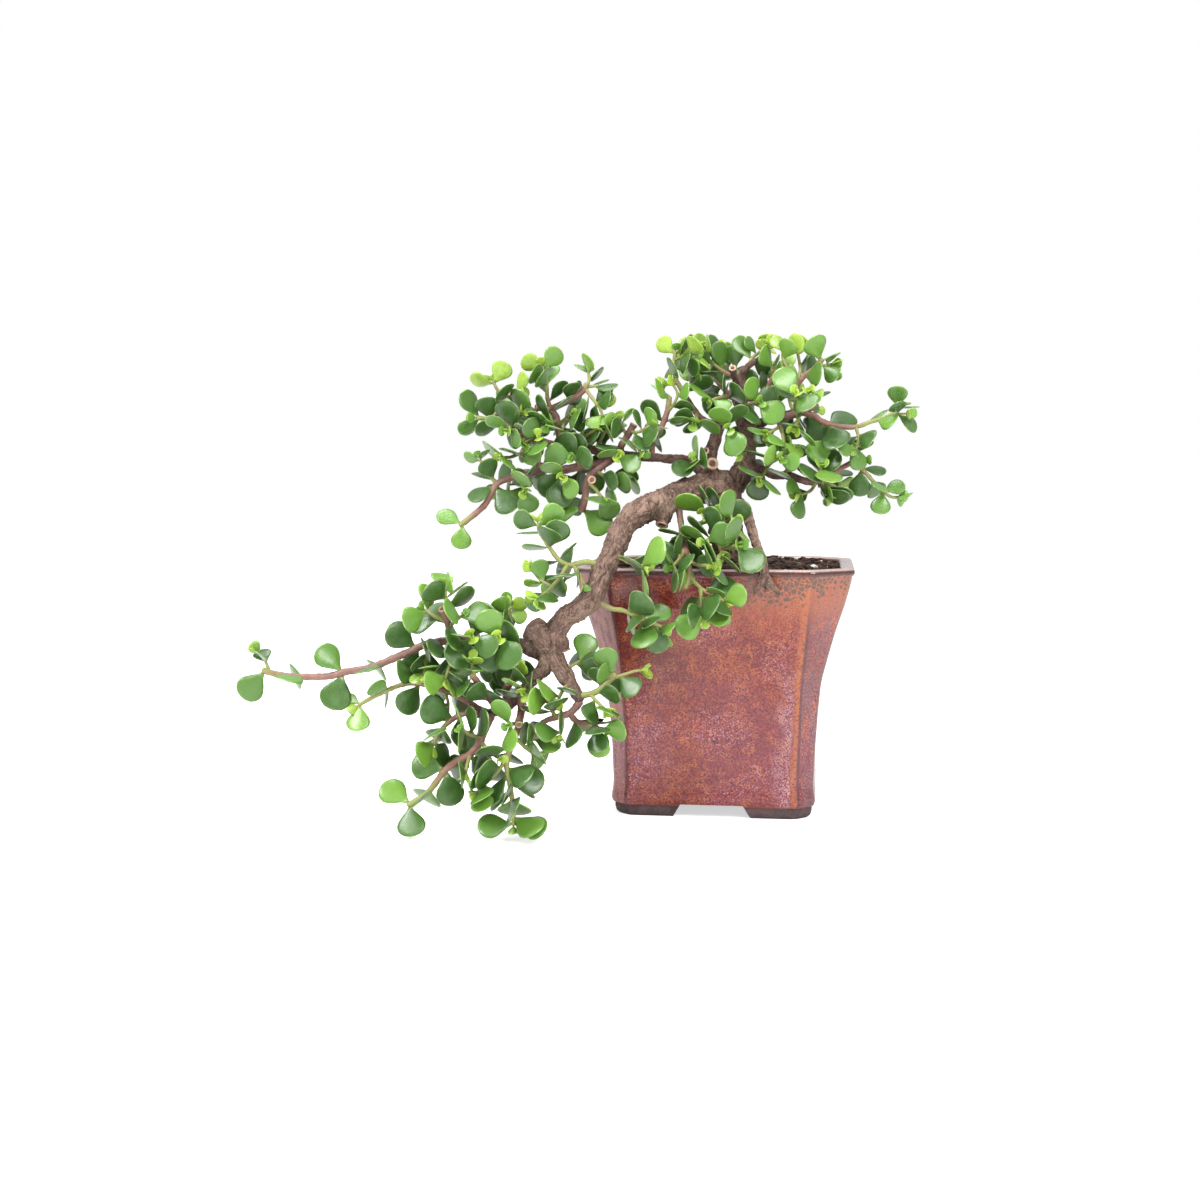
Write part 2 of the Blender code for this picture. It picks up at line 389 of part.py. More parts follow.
        (((-147, 32, 101.3), (-149, 28, 94), (-153, 24, 88)), (1.2, 0.8), 2, 5, (18, 15), 30),
    ),
    "branch_low_front": (
        (((-121, 63, 93), (-120, 54, 99), (-122, 44, 104), (-126, 33, 108), (-129, 22, 111),
          (-127.5, 12, 114), (-126, 2, 116), (-125, -8, 117), (-125, -16.5, 118)),
         (2.2, 1.1), 4, 34, (20, 19), 10),
        (((-128, 25, 110), (-136, 15, 112), (-142, 9.5, 113), (-146.5, 5, 113)), (1.2, 0.8), 2, 7,
         (19, 15), 60),
        (((-121.5, 46, 103), (-126, 46, 111), (-127.5, 45.5, 115)), (1.2, 0.9), 2, 5, (19, 16), 70),
        (((-120, 53, 99.3), (-121.5, 48, 110), (-121.5, 46, 113)), (1.9, 2.0), 0, 0, (0, 0), 0),
        (((-124, 38, 106), (-118, 32, 107), (-113, 28, 108)), (1.2, 0.8), 2, 6, (18, 15), 20),
    ),
    "branch_low_right": (
        (((-84, 60, 101), (-90, 53, 103), (-98, 50.5, 104), (-106, 47.5, 105), (-111, 42, 106),
          (-113, 36, 106)), (2.2, 1.1), 2, 14, (19, 18), 20),
        (((-99, 50.3, 104), (-102, 56, 108), (-105, 61, 110)), (1.2, 0.9), 2, 5, (18, 16), 60),
        (((-91, 52.6, 103.1), (-86, 47.5, 106), (-79, 46, 107)), (1.7, 1.7), 2, 6, (18, 18), 85),
        (((-95, 51.4, 103.6), (-95, 45, 108), (-96, 40, 111)), (1.2, 0.9), 2, 5, (18, 16), 30),
        (((-82, 46.6, 106.6), (-75, 45, 108), (-70, 42, 108)), (1.0, 0.8), 2, 6, (16, 16), 85),
    ),
    "branch_low_tip": (
        (((-85.5, 63, 100.7), (-75, 65.5, 103), (-68, 71, 103), (-62.5, 76.5, 103)),
         (1.8, 1.7), 2, 12, (16, 16), 75),
        (((-65, 74, 103), (-57, 76.5, 104), (-51, 78.5, 104), (-47, 79, 104)), (1.0, 0.7), 2, 5,
         (15, 9), 30),
        (((-78, 64.8, 102.6), (-74, 60, 106), (-70, 56, 108)), (1.1, 0.9), 2, 5, (16, 15), 30),
    ),
    "shoot_low_k": (
        (((-91, 72, 99.4), (-95, 66, 107), (-97, 62, 111)), (1.3, 0.9), 2, 7, (18, 18), 70),
    ),
    "shoot_low_l": (
        (((-94, 77, 98.7), (-89, 82, 95), (-83, 85, 92)), (1.2, 0.9), 2, 8, (16, 16), 80),
    ),
    "shoot_low_m": (
        (((-114, 72, 94.4), (-116.5, 69, 103), (-118, 66, 110)), (1.3, 0.9), 2, 7, (19, 16), 50),
    ),
    "shoot_low_n": (
        (((-119, 66, 93.4), (-123, 69, 85), (-127, 74, 77)), (1.3, 0.8), 2, 6, (18, 13), 30),
    ),
}


def smooth_line(knots, step):
    """Points and radii at even steps along the smooth line through the knots."""
    spots = [(place(k[0], k[1], k[2]) if len(k) == 4 else k[0], k[-1]) for k in knots]
    ends = [spots[0]] + spots + [spots[-1]]
    fine = []
    for i in range(1, len(ends) - 2):
        a, b, c, d = ends[i - 1][0], ends[i][0], ends[i + 1][0], ends[i + 2][0]
        count = max(2, int((c - b).length / 0.5))
        for j in range(count):
            s = j / count
            bend = (2 * a - 5 * b + 4 * c - d) * (s * s)
            turn = (3 * b - 3 * c + d - a) * (s * s * s)
            point = (2 * b + (c - a) * s + bend + turn) * 0.5
            fine.append((point, ends[i][1] * (1 - s) + ends[i + 1][1] * s))
    fine.append(spots[-1])
    reach = [0.0]
    for i in range(1, len(fine)):
        reach.append(reach[-1] + (fine[i][0] - fine[i - 1][0]).length)
    count = max(2, round(reach[-1] / step))
    line = []
    i = 0
    for j in range(count + 1):
        s = reach[-1] * j / count
        while i < len(fine) - 2 and reach[i + 1] < s:
            i += 1
        part = (s - reach[i]) / max(reach[i + 1] - reach[i], 1e-9)
        point = fine[i][0].lerp(fine[i + 1][0], part)
        line.append((point, fine[i][1] * (1 - part) + fine[i + 1][1] * part))
    return line


def nearest(point, line):
    return min(line, key=lambda spot: (spot[0] - point).length_squared)


def tube(name, line, resolution):
    """A round stem of changing thickness along a line, closed at both ends."""
    curve = bpy.data.curves.new(name, 'CURVE')
    curve.dimensions = '3D'
    curve.bevel_depth = MM
    curve.bevel_resolution = resolution
    curve.use_fill_caps = True
    spline = curve.splines.new('POLY')
    spline.points.add(len(line) - 1)
    for knot, (point, radius) in zip(spline.points, line):
        knot.co = (point.x * MM, point.y * MM, point.z * MM, 1.0)
        knot.radius = radius
    wire = bpy.data.objects.new("wire", curve)
    bpy.context.scene.collection.objects.link(wire)
    bpy.context.view_layer.update()
    mesh = bpy.data.meshes.new_from_object(wire.evaluated_get(bpy.context.evaluated_depsgraph_get()))
    solid = bpy.data.objects.new(name, mesh)
    solid.matrix_world = wire.matrix_world
    bpy.data.objects.remove(wire)
    bpy.data.curves.remove(curve)
    weld(mesh)
    return solid


def weld(mesh):
    bm = bmesh.new()
    bm.from_mesh(mesh)
    bmesh.ops.remove_doubles(bm, verts=bm.verts, dist=0.00001)
    bmesh.ops.recalc_face_normals(bm, faces=bm.faces)
    bm.to_mesh(mesh)
    bm.free()


def solid_from(name, points, faces):
    """A closed solid from points in millimetres."""
    mesh = bpy.data.meshes.new(name)
    mesh.from_pydata([tuple(p * MM for p in point) for point in points], [], faces)
    weld(mesh)
    return bpy.data.objects.new(name, mesh)


def combine(solid, others, operation, solver):
    """Joins the others to the solid, or cuts them from it."""
    group = bpy.data.collections.new("pieces")
    bpy.context.scene.collection.children.link(group)
    for piece in others:
        group.objects.link(piece)
        piece.display_type = 'WIRE'
        piece.hide_render = True
    bpy.context.scene.collection.objects.link(solid)
    step = solid.modifiers.new("join", 'BOOLEAN')
    step.operation = operation
    step.operand_type = 'COLLECTION'
    step.collection = group
    step.solver = solver
    bpy.context.view_layer.objects.active = solid
    bpy.context.view_layer.update()
    bpy.ops.object.modifier_apply(modifier=step.name)
    bpy.context.scene.collection.objects.unlink(solid)
    for piece in others:
        bpy.data.objects.remove(piece)
    bpy.data.collections.remove(group)


def keep_body(solid):
    """Drops loose scraps and the walls of sealed hollows, so that one body is left."""
    bm = bmesh.new()
    bm.from_mesh(solid.data)
    seen = set()
    shells = []
    for first in bm.faces:
        if first in seen:
            continue
        shell = [first]
        seen.add(first)
        for face in shell:
            for edge in face.edges:
                for other in edge.link_faces:
                    if other not in seen:
                        seen.add(other)
                        shell.append(other)
        shells.append(shell)
    shells.sort(key=len)
    for shell in shells[:-1]:
        bmesh.ops.delete(bm, geom=shell, context='FACES')
    bm.to_mesh(solid.data)
    bm.free()


def flare_at(height):
    """How far the wall has flared at a height: 0 at the base, 1 at the rim."""
    share = height / POT_HEIGHT
    before = (0.0, 0.02)
    for after in FLARE + ((1.0, 1.0),):
        if share <= after[0]:
            part = (share - before[0]) / (after[0] - before[0])
            return before[1] + (after[1] - before[1]) * part
        before = after
    return 1.0


def half_at(height):
    return (BASE_WIDTH + (RIM_WIDTH - BASE_WIDTH) * flare_at(height)) / 2


def cut_at(height):
    return BASE_CUT + (RIM_CUT - BASE_CUT) * flare_at(height)


def pot_ring(half, cut, height):
    """One level of the pot: a square with cut corners, each edge slightly rounded."""
    corners = []
    for k in range(4):
        for x, y in ((half, half - cut), (half - cut, half)):
            for turn in range(k):
                x, y = -y, x
            corners.append(Vector((x, y, height)))
    ring = []
    for i, corner in enumerate(corners):
        before = corners[i - 1]
        after = corners[(i + 1) % 8]
        ring.append(corner + (before - corner).normalized() * EDGE_ROUND)
        ring.append(corner + (after - corner).normalized() * EDGE_ROUND)
    return ring


def inner_ring(height, shrink):
    less = WALL + shrink
    return pot_ring(half_at(height) - less, cut_at(height) - 0.586 * less, height)


def loft(name, rings):
    """A solid skinned through rings of the same number of points, closed at both ends."""
    count = len(rings[0])
    points = [point for ring in rings for point in ring]
    faces = [list(range(count))[::-1]]
    for level in range(len(rings) - 1):
        base = level * count
        for i in range(count):
            j = (i + 1) % count
            faces.append([base + i, base + j, base + count + j, base + count + i])
    faces.append(list(range(len(points) - count, len(points))))
    return solid_from(name, points, faces)


def block(name, low, high, top_low, top_high):
    """A block between two level rectangles, given by their opposite corners."""
    points = []
    for (x0, y0, z0), (x1, y1, _) in ((low, high), (top_low, top_high)):
        points += [Vector((x0, y0, z0)), Vector((x1, y0, z0)), Vector((x1, y1, z0)),
                   Vector((x0, y1, z0))]
    return solid_from(name, points, [[3, 2, 1, 0], [4, 5, 6, 7], [0, 1, 5, 4], [1, 2, 6, 5],
                                     [2, 3, 7, 6], [3, 0, 4, 7]])


def round_ring(centre, radius, height, angles):
    return [Vector((centre.x + radius * math.cos(a), centre.y + radius * math.sin(a), height))
            for a in angles]


# The pot: thrown square, glazed brick red down to a bare clay band on four corner feet.
def make_pot():
    base = BASE_WIDTH / 2
    rim = RIM_WIDTH / 2
    top = POT_HEIGHT
    lip = top - LIP_HEIGHT
    rings = [pot_ring(base - 2.9, BASE_CUT - 1.6, 0.0),
             pot_ring(base - 0.8, BASE_CUT - 0.4, 1.6),
             pot_ring(base - 0.1, BASE_CUT, 4.2),
             pot_ring(base - 0.1, BASE_CUT, 6.6),
             pot_ring(base + 0.9, BASE_CUT, 8.0),
             pot_ring(base + 1.5, BASE_CUT, 11.5),
             pot_ring(base + 1.1, BASE_CUT, 16.0)]
    levels = [share * top for share, _ in FLARE]
    rings += [pot_ring(half_at(z), cut_at(z), z) for z in levels]
    rings += [pot_ring(rim - LIP_OUT, RIM_CUT, lip),
              pot_ring(rim, RIM_CUT, lip + 0.7),
              pot_ring(rim, RIM_CUT, top - 0.9),
              pot_ring(rim - 1.2, RIM_CUT, top),
              pot_ring(rim - WALL + 1.0, RIM_CUT - 4.2, top),
              inner_ring(top - 0.9, 0.0)]
    rings += [inner_ring(z, 0.0) for z in reversed(levels)]
    rings.append(pot_ring(base - WALL - 1.5, BASE_CUT - 4.5, FLOOR_TOP))
    pot = loft("pot", rings)
    far = RIM_WIDTH
    cuts = [block("notch", (-NOTCH_BOTTOM / 2, -far, -1), (NOTCH_BOTTOM / 2, far, -1),
                  (-NOTCH_TOP / 2, -far, NOTCH_HEIGHT), (NOTCH_TOP / 2, far, NOTCH_HEIGHT)),
            block("notch", (-far, -NOTCH_BOTTOM / 2, -1), (far, NOTCH_BOTTOM / 2, -1),
                  (-far, -NOTCH_TOP / 2, NOTCH_HEIGHT), (far, NOTCH_TOP / 2, NOTCH_HEIGHT)),
            block("notch", (-39, -39, -1), (39, 39, -1), (-38, -38, NOTCH_HEIGHT),
                  (38, 38, NOTCH_HEIGHT))]
    angles = [2 * math.pi * i / 24 for i in range(24)]
    centre = Vector((0.0, 0.0, 0.0))
    cuts.append(loft("drain", [round_ring(centre, DRAIN_RADIUS, -1, angles),
                               round_ring(centre, DRAIN_RADIUS, FLOOR_TOP + 3, angles)]))
    combine(pot, cuts, 'DIFFERENCE', 'EXACT')
    keep_body(pot)
    return pot


# The soil: coarse bark and grit that fills the pot, with a plain hole for the trunk's foot.
def make_soil(foot):
    rng = random.Random(7)
    levels = [share * POT_HEIGHT for share, _ in FLARE if share * POT_HEIGHT < SOIL_EDGE - 2]
    low = pot_ring(BASE_WIDTH / 2 - WALL - 1.5 - GAP, BASE_CUT - 4.5 - 0.586 * GAP,
                   FLOOR_TOP + GAP)
    walls = [low] + [inner_ring(z, GAP) for z in levels] + [inner_ring(SOIL_EDGE, GAP)]
    rings = list(walls)
    edge = rings[-1]
    start = math.atan2(edge[0].y - foot.y, edge[0].x - foot.x)
    angles = [start + 2 * math.pi * i / len(edge) for i in range(len(edge))]
    hole = TRUNK_FOOT + 2 * GAP
    collar = round_ring(foot, hole, SOIL_HEAP, angles)
    for share in (0.86, 0.7, 0.54, 0.38, 0.22, 0.1):
        ring = []
        for out, middle in zip(edge, collar):
            point = middle.lerp(out, share)
            lump = rng.uniform(-SOIL_LUMP, SOIL_LUMP)
            point.z = SOIL_HEAP + (SOIL_EDGE - SOIL_HEAP) * share ** 3 + lump
            ring.append(point)
        rings.append(ring)
    rings.append(collar)
    rings.append(round_ring(foot, hole, foot.z - GAP, angles))
    return loft("soil", rings)


# Stems: laid out first, so that every leaf can be kept clear of all of them.
def lay_wood():
    lines = [smooth_line(TRUNK, 1.0)]
    for limb in LIMBS:
        lines.append(smooth_line(limb, 1.0))
    return lines


def lay_branches(wood):
    """Every stem's line at 1 mm steps, named by branch."""
    laid = {}
    for name, stems in BRANCHES.items():
        lines = []
        for knots, (root, tip), pairs, first, sizes, turn in stems:
            parents = [spot for line in (lines or wood) for spot in line]
            start = nearest(place(*knots[0]), parents)[0]
            spots = [start] + [place(*knot) for knot in knots[1:]]
            reach = [0.0]
            for i in range(1, len(spots)):
                reach.append(reach[-1] + (spots[i] - spots[i - 1]).length)
            radii = [root + (tip - root) * r / reach[-1] for r in reach]
            lines.append(smooth_line(list(zip(spots, radii)), 1.0))
        laid[name] = lines
    return laid


def part_point(name, laid, wood):
    """How many steps of a branch's first stem belong to the wood before it stands clear."""
    line = laid[name][0]
    others = [spot for other in wood for spot in other]
    for other, lines in laid.items():
        if other != name:
            others += lines[0][:24]
    clear = 0
    for i, (point, radius) in enumerate(line[:24]):
        for spot, thick in others:
            if (point - spot).length < radius + thick + 0.9:
                clear = i + 1
                break
    return max(clear, 3)


def frame_at(line, reach):
    """The point, direction and radius at a distance along a line of 1 mm steps."""
    total = (len(line) - 1) * (line[1][0] - line[0][0]).length
    place_on = min(max(reach / total, 0.0), 1.0) * (len(line) - 1)
    i = min(int(place_on), len(line) - 2)
    part = place_on - i
    point = line[i][0].lerp(line[i + 1][0], part)
    ahead = line[min(i + 2, len(line) - 1)][0] - line[max(i - 1, 0)][0]
    return point, ahead.normalized(), line[i][1]


def leaf_points(length, sunk, cup, curl, free):
    """A blade lying along x, facing z: its outline, then the points of its two faces."""
    half = length * LEAF_WIDTH / 2
    thick = max(length * LEAF_THICK, 1.3)
    outline = [(0.29 * length, -0.66 * half), (0.64 * length, -half),
               (0.96 * length, -0.5 * half), (0.96 * length, 0.5 * half),
               (0.64 * length, half), (0.29 * length, 0.66 * half)]
    if free:
        outline = [(0.05 * length, -0.28 * half)] + outline + [(0.05 * length, 0.28 * half)]
    else:
        outline.append((-sunk, 0.0))
    points = []
    for x, y in outline:
        z = curl * max(x, 0.0) ** 2 / length + cup * abs(y / half) ** 2 * length
        points.append(Vector((x, y, z)))
    middle = curl * 0.2 * length
    points.append(Vector((0.45 * length, 0.0, middle + thick / 2)))
    points.append(Vector((0.45 * length, 0.0, middle - thick / 2)))
    return points


LEAF_FACES = [(i, (i + 1) % 7, 7) for i in range(7)] + [((i + 1) % 7, i, 8) for i in range(7)]


def in_pot(point):
    if point.z > SOIL_HEAP + 1.5:
        return False
    height = min(max(point.z, 0.0), POT_HEIGHT)
    half = half_at(height) + 1.2
    x, y = abs(point.x), abs(point.y)
    return x < half and y < half and x + y < 2 * half - cut_at(height) + 0.8


def hits_stem(frame, length, own, spots):
    """Whether the blade passes through any stem but its own."""
    base, axis, side, face = frame
    half = length * LEAF_WIDTH / 2
    middle = base + axis * (length / 2)
    for point, radius, owner in spots:
        if owner == own:
            continue
        gap = point - middle
        if gap.length_squared > (length * 0.75 + radius) ** 2:
            continue
        away = point - base
        x, y, z = away.dot(axis), away.dot(side), away.dot(face)
        room = radius + CLEAR
        if -room < x < length + room and abs(y) < half + room and abs(z) < 1.3 + room:
            return True
    return False


def grow(laid, parts):
    """Leaf pairs along every stem, each pair a quarter turn from the last, clear of all else."""
    spots = []
    for line in lay_wood():
        spots += [(point, radius, None) for point, radius in line]
    for name, lines in laid.items():
        for k, line in enumerate(lines):
            spots += [(point, radius, (name, k)) for point, radius in line]
    leaves = {name: [] for name in laid}
    standing = []
    for name, lines in laid.items():
        for k, line in enumerate(lines):
            pairs, first, sizes, turn = BRANCHES[name][k][2:]
            total = (len(line) - 1) * (line[1][0] - line[0][0]).length
            if k == 0:
                first = max(first, parts[name] + 3)
            for pair in range(pairs):
                share = pair / max(pairs - 1, 1)
                point, ahead, radius = frame_at(line, first + (total - 0.7 - first) * share)
                level = ahead.cross(UP) if abs(ahead.z) < 0.85 else ACROSS.copy()
                level = (level - ahead * level.dot(ahead)).normalized()
                upward = level.cross(ahead)
                old = max(min((sizes[0] * (1 - share) + sizes[1] * share - 7) / 8, 1), 0)
                for hand in (0, 1):
                    seed = sum(ord(c) for c in name) * 100 + k * 20 + pair * 2 + hand
                    rng = random.Random(seed)
                    for attempt in range(TRIES):
                        loose = 1 + attempt * 0.5
                        around = math.radians(turn + 90 * (pairs - 1 - pair) + 180 * hand
                                              + rng.uniform(-12, 12) * loose)
                        out = level * math.cos(around) + upward * math.sin(around)
                        lean = math.radians(34 + 26 * old + rng.uniform(-9, 9) * loose)
                        lean = min(max(lean, 0.4), 1.6)
                        axis = ahead * math.cos(lean) + out * math.sin(lean)
                        face = ahead * math.sin(lean) - out * math.cos(lean)
                        side = face.cross(axis)
                        turned = math.atan2(-LIGHT.dot(side), LIGHT.dot(face))
                        turned = max(min(turned, 1.35), -1.35) * 0.88
                        roll = -turned + math.radians(rng.uniform(-16, 16) * loose)
                        side, face = (side * math.cos(roll) + face * math.sin(roll),
                                      face * math.cos(roll) - side * math.sin(roll))
                        length = (sizes[0] * (1 - share) + sizes[1] * share)
                        length *= rng.uniform(0.90, 1.08) * (1 - 0.02 * attempt)
                        cup = rng.uniform(0.0, 0.07)
                        curl = rng.uniform(-0.16, 0.05)
                        base = point + out * (radius * 0.85)
                        frame = (base, axis, side, face)
                        sunk = 0.8 * radius / math.sin(lean)
                        if hits_stem(frame, length, (name, k), spots):
                            continue
                        wide = [base + axis * p.x + side * p.y + face * p.z for p in
                                leaf_points(length + CLEAR, sunk, cup, curl, True)]
                        if min(p.z for p in wide) < LEAF_LOWEST or any(in_pot(p) for p in wide):
                            continue
                        middle = base + axis * (length / 2)
                        tree = None
                        clash = False
                        for centre, reach, other in standing:
                            if (centre - middle).length > reach + length * 0.62:
                                continue
                            if tree is None:
                                tree = test_tree(wide, face)
                            if tree.overlap(other):
                                clash = True
                                break
                        if clash:
                            continue
                        shape = [base + axis * p.x + side * p.y + face * p.z for p in
                                 leaf_points(length, sunk, cup, curl, False)]
                        standing.append((middle, length * 0.62, BVHTree.FromPolygons(
                            shape, LEAF_FACES)))
                        leaves[name].append(shape)
                        break
    return leaves


def test_tree(shape, face):
    """A blade swollen by the clearance on both faces."""
    points = list(shape)
    points[8] = points[8] + face * CLEAR
    points[9] = points[9] - face * CLEAR
    top = [p + face * CLEAR for p in points[:8]]
    low = [p - face * CLEAR for p in points[:8]]
    faces = []
    for i in range(8):
        j = (i + 1) % 8
        faces += [(i, j, 16), (8 + j, 8 + i, 17), (i, 8 + i, 8 + j), (i, 8 + j, j)]
    return BVHTree.FromPolygons(top + low + [points[8], points[9]], faces)


def thin(line, slack):
    """The fewest points of a line that keep within the slack of it, with both ends."""
    kept = [0]
    while kept[-1] < len(line) - 1:
        start = line[kept[-1]][0]
        far = kept[-1] + 1
        for end in range(kept[-1] + 2, min(kept[-1] + 34, len(line))):
            chord = (line[end][0] - start).normalized()
            off = max(((line[i][0] - start) - chord * (line[i][0] - start).dot(chord)).length
                      for i in range(kept[-1] + 1, end))
            if off > slack:
                break
            far = end
        kept.append(far)
    return [line[i] for i in kept]


def after_cut(stub, line):
    """The rest of a stem beyond its stub: it starts a small gap on, square to the stub's end."""
    ahead = (stub[-1][0] - stub[-2][0]).normalized()
    start, radius = line[0]
    return [(start + ahead * GAP, radius), (start + ahead * 1.2, radius)] + thin(line[3:], 0.5)


def make_plant():
    """The wood as one solid, and each leafy branch as one solid of its stems and leaves."""
    wood = lay_wood()
    laid = lay_branches(wood)
    parts = {name: part_point(name, laid, wood) for name in laid}
    leaves = grow(laid, parts)
    stubs = []
    plants = []
    for name, lines in laid.items():
        part = parts[name]
        stub = thin(lines[0][:part + 1], 0.3)
        stubs.append(tube("stub", stub, 0))
        main = tube(name, after_cut(stub, lines[0][part:]), 0)
        pieces = [tube("stem", thin(line, 0.5), 0) for line in lines[1:]]
        pieces += [solid_from("leaf", shape, LEAF_FACES) for shape in leaves[name]]
        combine(main, pieces, 'UNION', 'EXACT')
        keep_body(main)
        plants.append(main)
    trunk = tube("trunk", thin(wood[0], 0.6), 3)
    limbs = [tube("limb", thin(line, 0.6), 1) for line in wood[1:]]
    combine(trunk, limbs + stubs, 'UNION', 'EXACT')
    keep_body(trunk)
    return trunk, plants, wood[0][0][0]


def paint(solid, name, colour, roughness, metallic=0.0):
    material = bpy.data.materials.get(name)
    if material is None:
        material = bpy.data.materials.new(name)
        material.use_nodes = True
        shader = material.node_tree.nodes["Principled BSDF"]
        shader.inputs["Base Color"].default_value = (*colour, 1.0)
        shader.inputs["Roughness"].default_value = roughness
        shader.inputs["Metallic"].default_value = metallic
    solid.data.materials.clear()
    solid.data.materials.append(material)


for old in list(bpy.data.objects):
    bpy.data.objects.remove(old)

trunk, plants, foot = make_plant()
pot = make_pot()
soil = make_soil(foot)
paint(pot, "brick_red_glaze", (0.36, 0.10, 0.075), 0.18)
paint(soil, "bark_soil", (0.055, 0.035, 0.025), 0.95)
paint(trunk, "grey_brown_bark", (0.25, 0.16, 0.12), 0.8)
for plant in plants:
    paint(plant, "jade_leaf", (0.13, 0.27, 0.07), 0.42)

solids = [pot, soil, trunk] + plants
spread = [vertex.co for solid in solids for vertex in solid.data.vertices]
shift = Vector((-(min(p.x for p in spread) + max(p.x for p in spread)) / 2,
                -(min(p.y for p in spread) + max(p.y for p in spread)) / 2, 0.0))
group = bpy.data.collections.new("dwarf_jade_bonsai")
bpy.context.scene.collection.children.link(group)
for solid in solids:
    for vertex in solid.data.vertices:
        vertex.co = vertex.co + shift
    group.objects.link(solid)
    solid.data.shade_smooth()
    solid.data.set_sharp_from_angle(angle=math.radians(38))
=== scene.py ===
import json
import math
import random

import bmesh
import bpy
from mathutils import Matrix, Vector, kdtree, noise
from mathutils.bvhtree import BVHTree

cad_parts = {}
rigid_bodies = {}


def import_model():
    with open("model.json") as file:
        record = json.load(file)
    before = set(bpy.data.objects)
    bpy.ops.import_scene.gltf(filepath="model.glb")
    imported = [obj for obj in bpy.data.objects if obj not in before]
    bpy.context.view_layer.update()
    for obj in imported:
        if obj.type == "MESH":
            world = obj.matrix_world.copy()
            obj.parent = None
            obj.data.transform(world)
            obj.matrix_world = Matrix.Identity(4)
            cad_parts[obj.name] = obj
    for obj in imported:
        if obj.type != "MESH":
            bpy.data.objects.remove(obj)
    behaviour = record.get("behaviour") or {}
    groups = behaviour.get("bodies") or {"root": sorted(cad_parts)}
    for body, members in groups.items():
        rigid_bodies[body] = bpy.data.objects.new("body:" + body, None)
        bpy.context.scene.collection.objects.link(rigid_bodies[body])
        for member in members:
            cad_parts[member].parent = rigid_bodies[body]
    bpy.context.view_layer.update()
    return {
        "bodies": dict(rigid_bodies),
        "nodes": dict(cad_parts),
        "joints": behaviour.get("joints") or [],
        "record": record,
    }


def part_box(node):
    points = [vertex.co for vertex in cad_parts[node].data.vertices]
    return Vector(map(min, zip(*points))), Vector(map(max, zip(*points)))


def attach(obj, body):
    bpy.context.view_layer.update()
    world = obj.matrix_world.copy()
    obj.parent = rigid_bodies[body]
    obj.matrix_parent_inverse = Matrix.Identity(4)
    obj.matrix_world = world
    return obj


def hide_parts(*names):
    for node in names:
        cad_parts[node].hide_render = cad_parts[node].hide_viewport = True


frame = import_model()

# The pot: one fired clay body, square with cut corners, that flares toward the rim.
# It is dipped in a brick red glaze that breaks orange and grey, and stands on bare clay feet.
MM = 0.001
pot_low, pot_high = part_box("pot")
POT_AXIS = Vector(((pot_low.x + pot_high.x) / 2, (pot_low.y + pot_high.y) / 2, 0.0))
RIM_WIDTH = 160.0
BASE_WIDTH = 115.0
POT_HEIGHT = 145.0
WALL = 8.0
RIM_CUT = 21.8
BASE_CUT = 8.75
CUT_LESS = 0.586  # how much shorter a cut corner's leg gets where the walls stand 1 mm further in
EDGE_ROUND = 3.0
FLARE = ((0.0, 0.02), (0.16, 0.045), (0.28, 0.07), (0.42, 0.13), (0.55, 0.22), (0.66, 0.40),
         (0.76, 0.58), (0.85, 0.78), (0.92, 0.90), (0.965, 0.96), (1.0, 1.0))
# Levels of the wall: the foot as (height, outward, cut less), the lip as (height, inward).
FOOT_LEVELS = ((0.0, -2.9, 1.6), (0.5, -2.0, 1.1), (1.6, -0.9, 0.5), (4.0, -0.2, 0.1),
               (6.2, -0.15, 0.0), (6.7, 0.5, 0.0), (7.5, 1.15, 0.0), (8.8, 1.55, 0.0),
               (10.4, 1.75, 0.0), (12.4, 1.6, 0.0), (14.6, 1.3, 0.0), (17.0, 1.1, 0.0))
LIP_LEVELS = ((140.0, 0.95), (140.5, 0.8), (141.0, 0.1), (141.8, -0.25), (142.8, -0.3),
              (143.8, -0.1), (144.5, 0.45), (144.9, 1.3), (145.0, 2.4), (145.0, 4.6),
              (144.8, 6.2), (144.2, 7.3), (143.2, 7.9))
WALL_START, WALL_END, WALL_STEP = 20.0, 139.5, 2.4
INSIDE_LEVELS = (34.0, 54.0, 72.0, 88.0, 102.0, 116.0, 128.0, 136.0)
INSIDE_TOP = 141.0
FLOOR_TOP = 18.0
HAND_WAVE, HAND_SIZE = 0.035, 0.35  # how the thrown wall strays from true, per mm and in mm
NOTCH_HEIGHT = 7.7
NOTCH_HALF = 23.0
HOLLOW_HALF = 39.0
DRAIN_RADIUS = 8.0


def clamp(value, low=0.0, high=1.0):
    return min(max(value, low), high)


def flare_at(height):
    """How far the wall has flared at a height, 0 at the base and 1 at the rim, smoothed."""
    total = 0.0
    for k in range(-4, 5):
        share = clamp(height / POT_HEIGHT + k * 0.009)
        for before, after in zip(FLARE, FLARE[1:]):
            if share <= after[0]:
                part = (share - before[0]) / (after[0] - before[0])
                total += before[1] + (after[1] - before[1]) * part
                break
    return total / 9


def half_at(height):
    return (BASE_WIDTH + (RIM_WIDTH - BASE_WIDTH) * flare_at(height)) / 2


def cut_at(height):
    return BASE_CUT + (RIM_CUT - BASE_CUT) * flare_at(height)


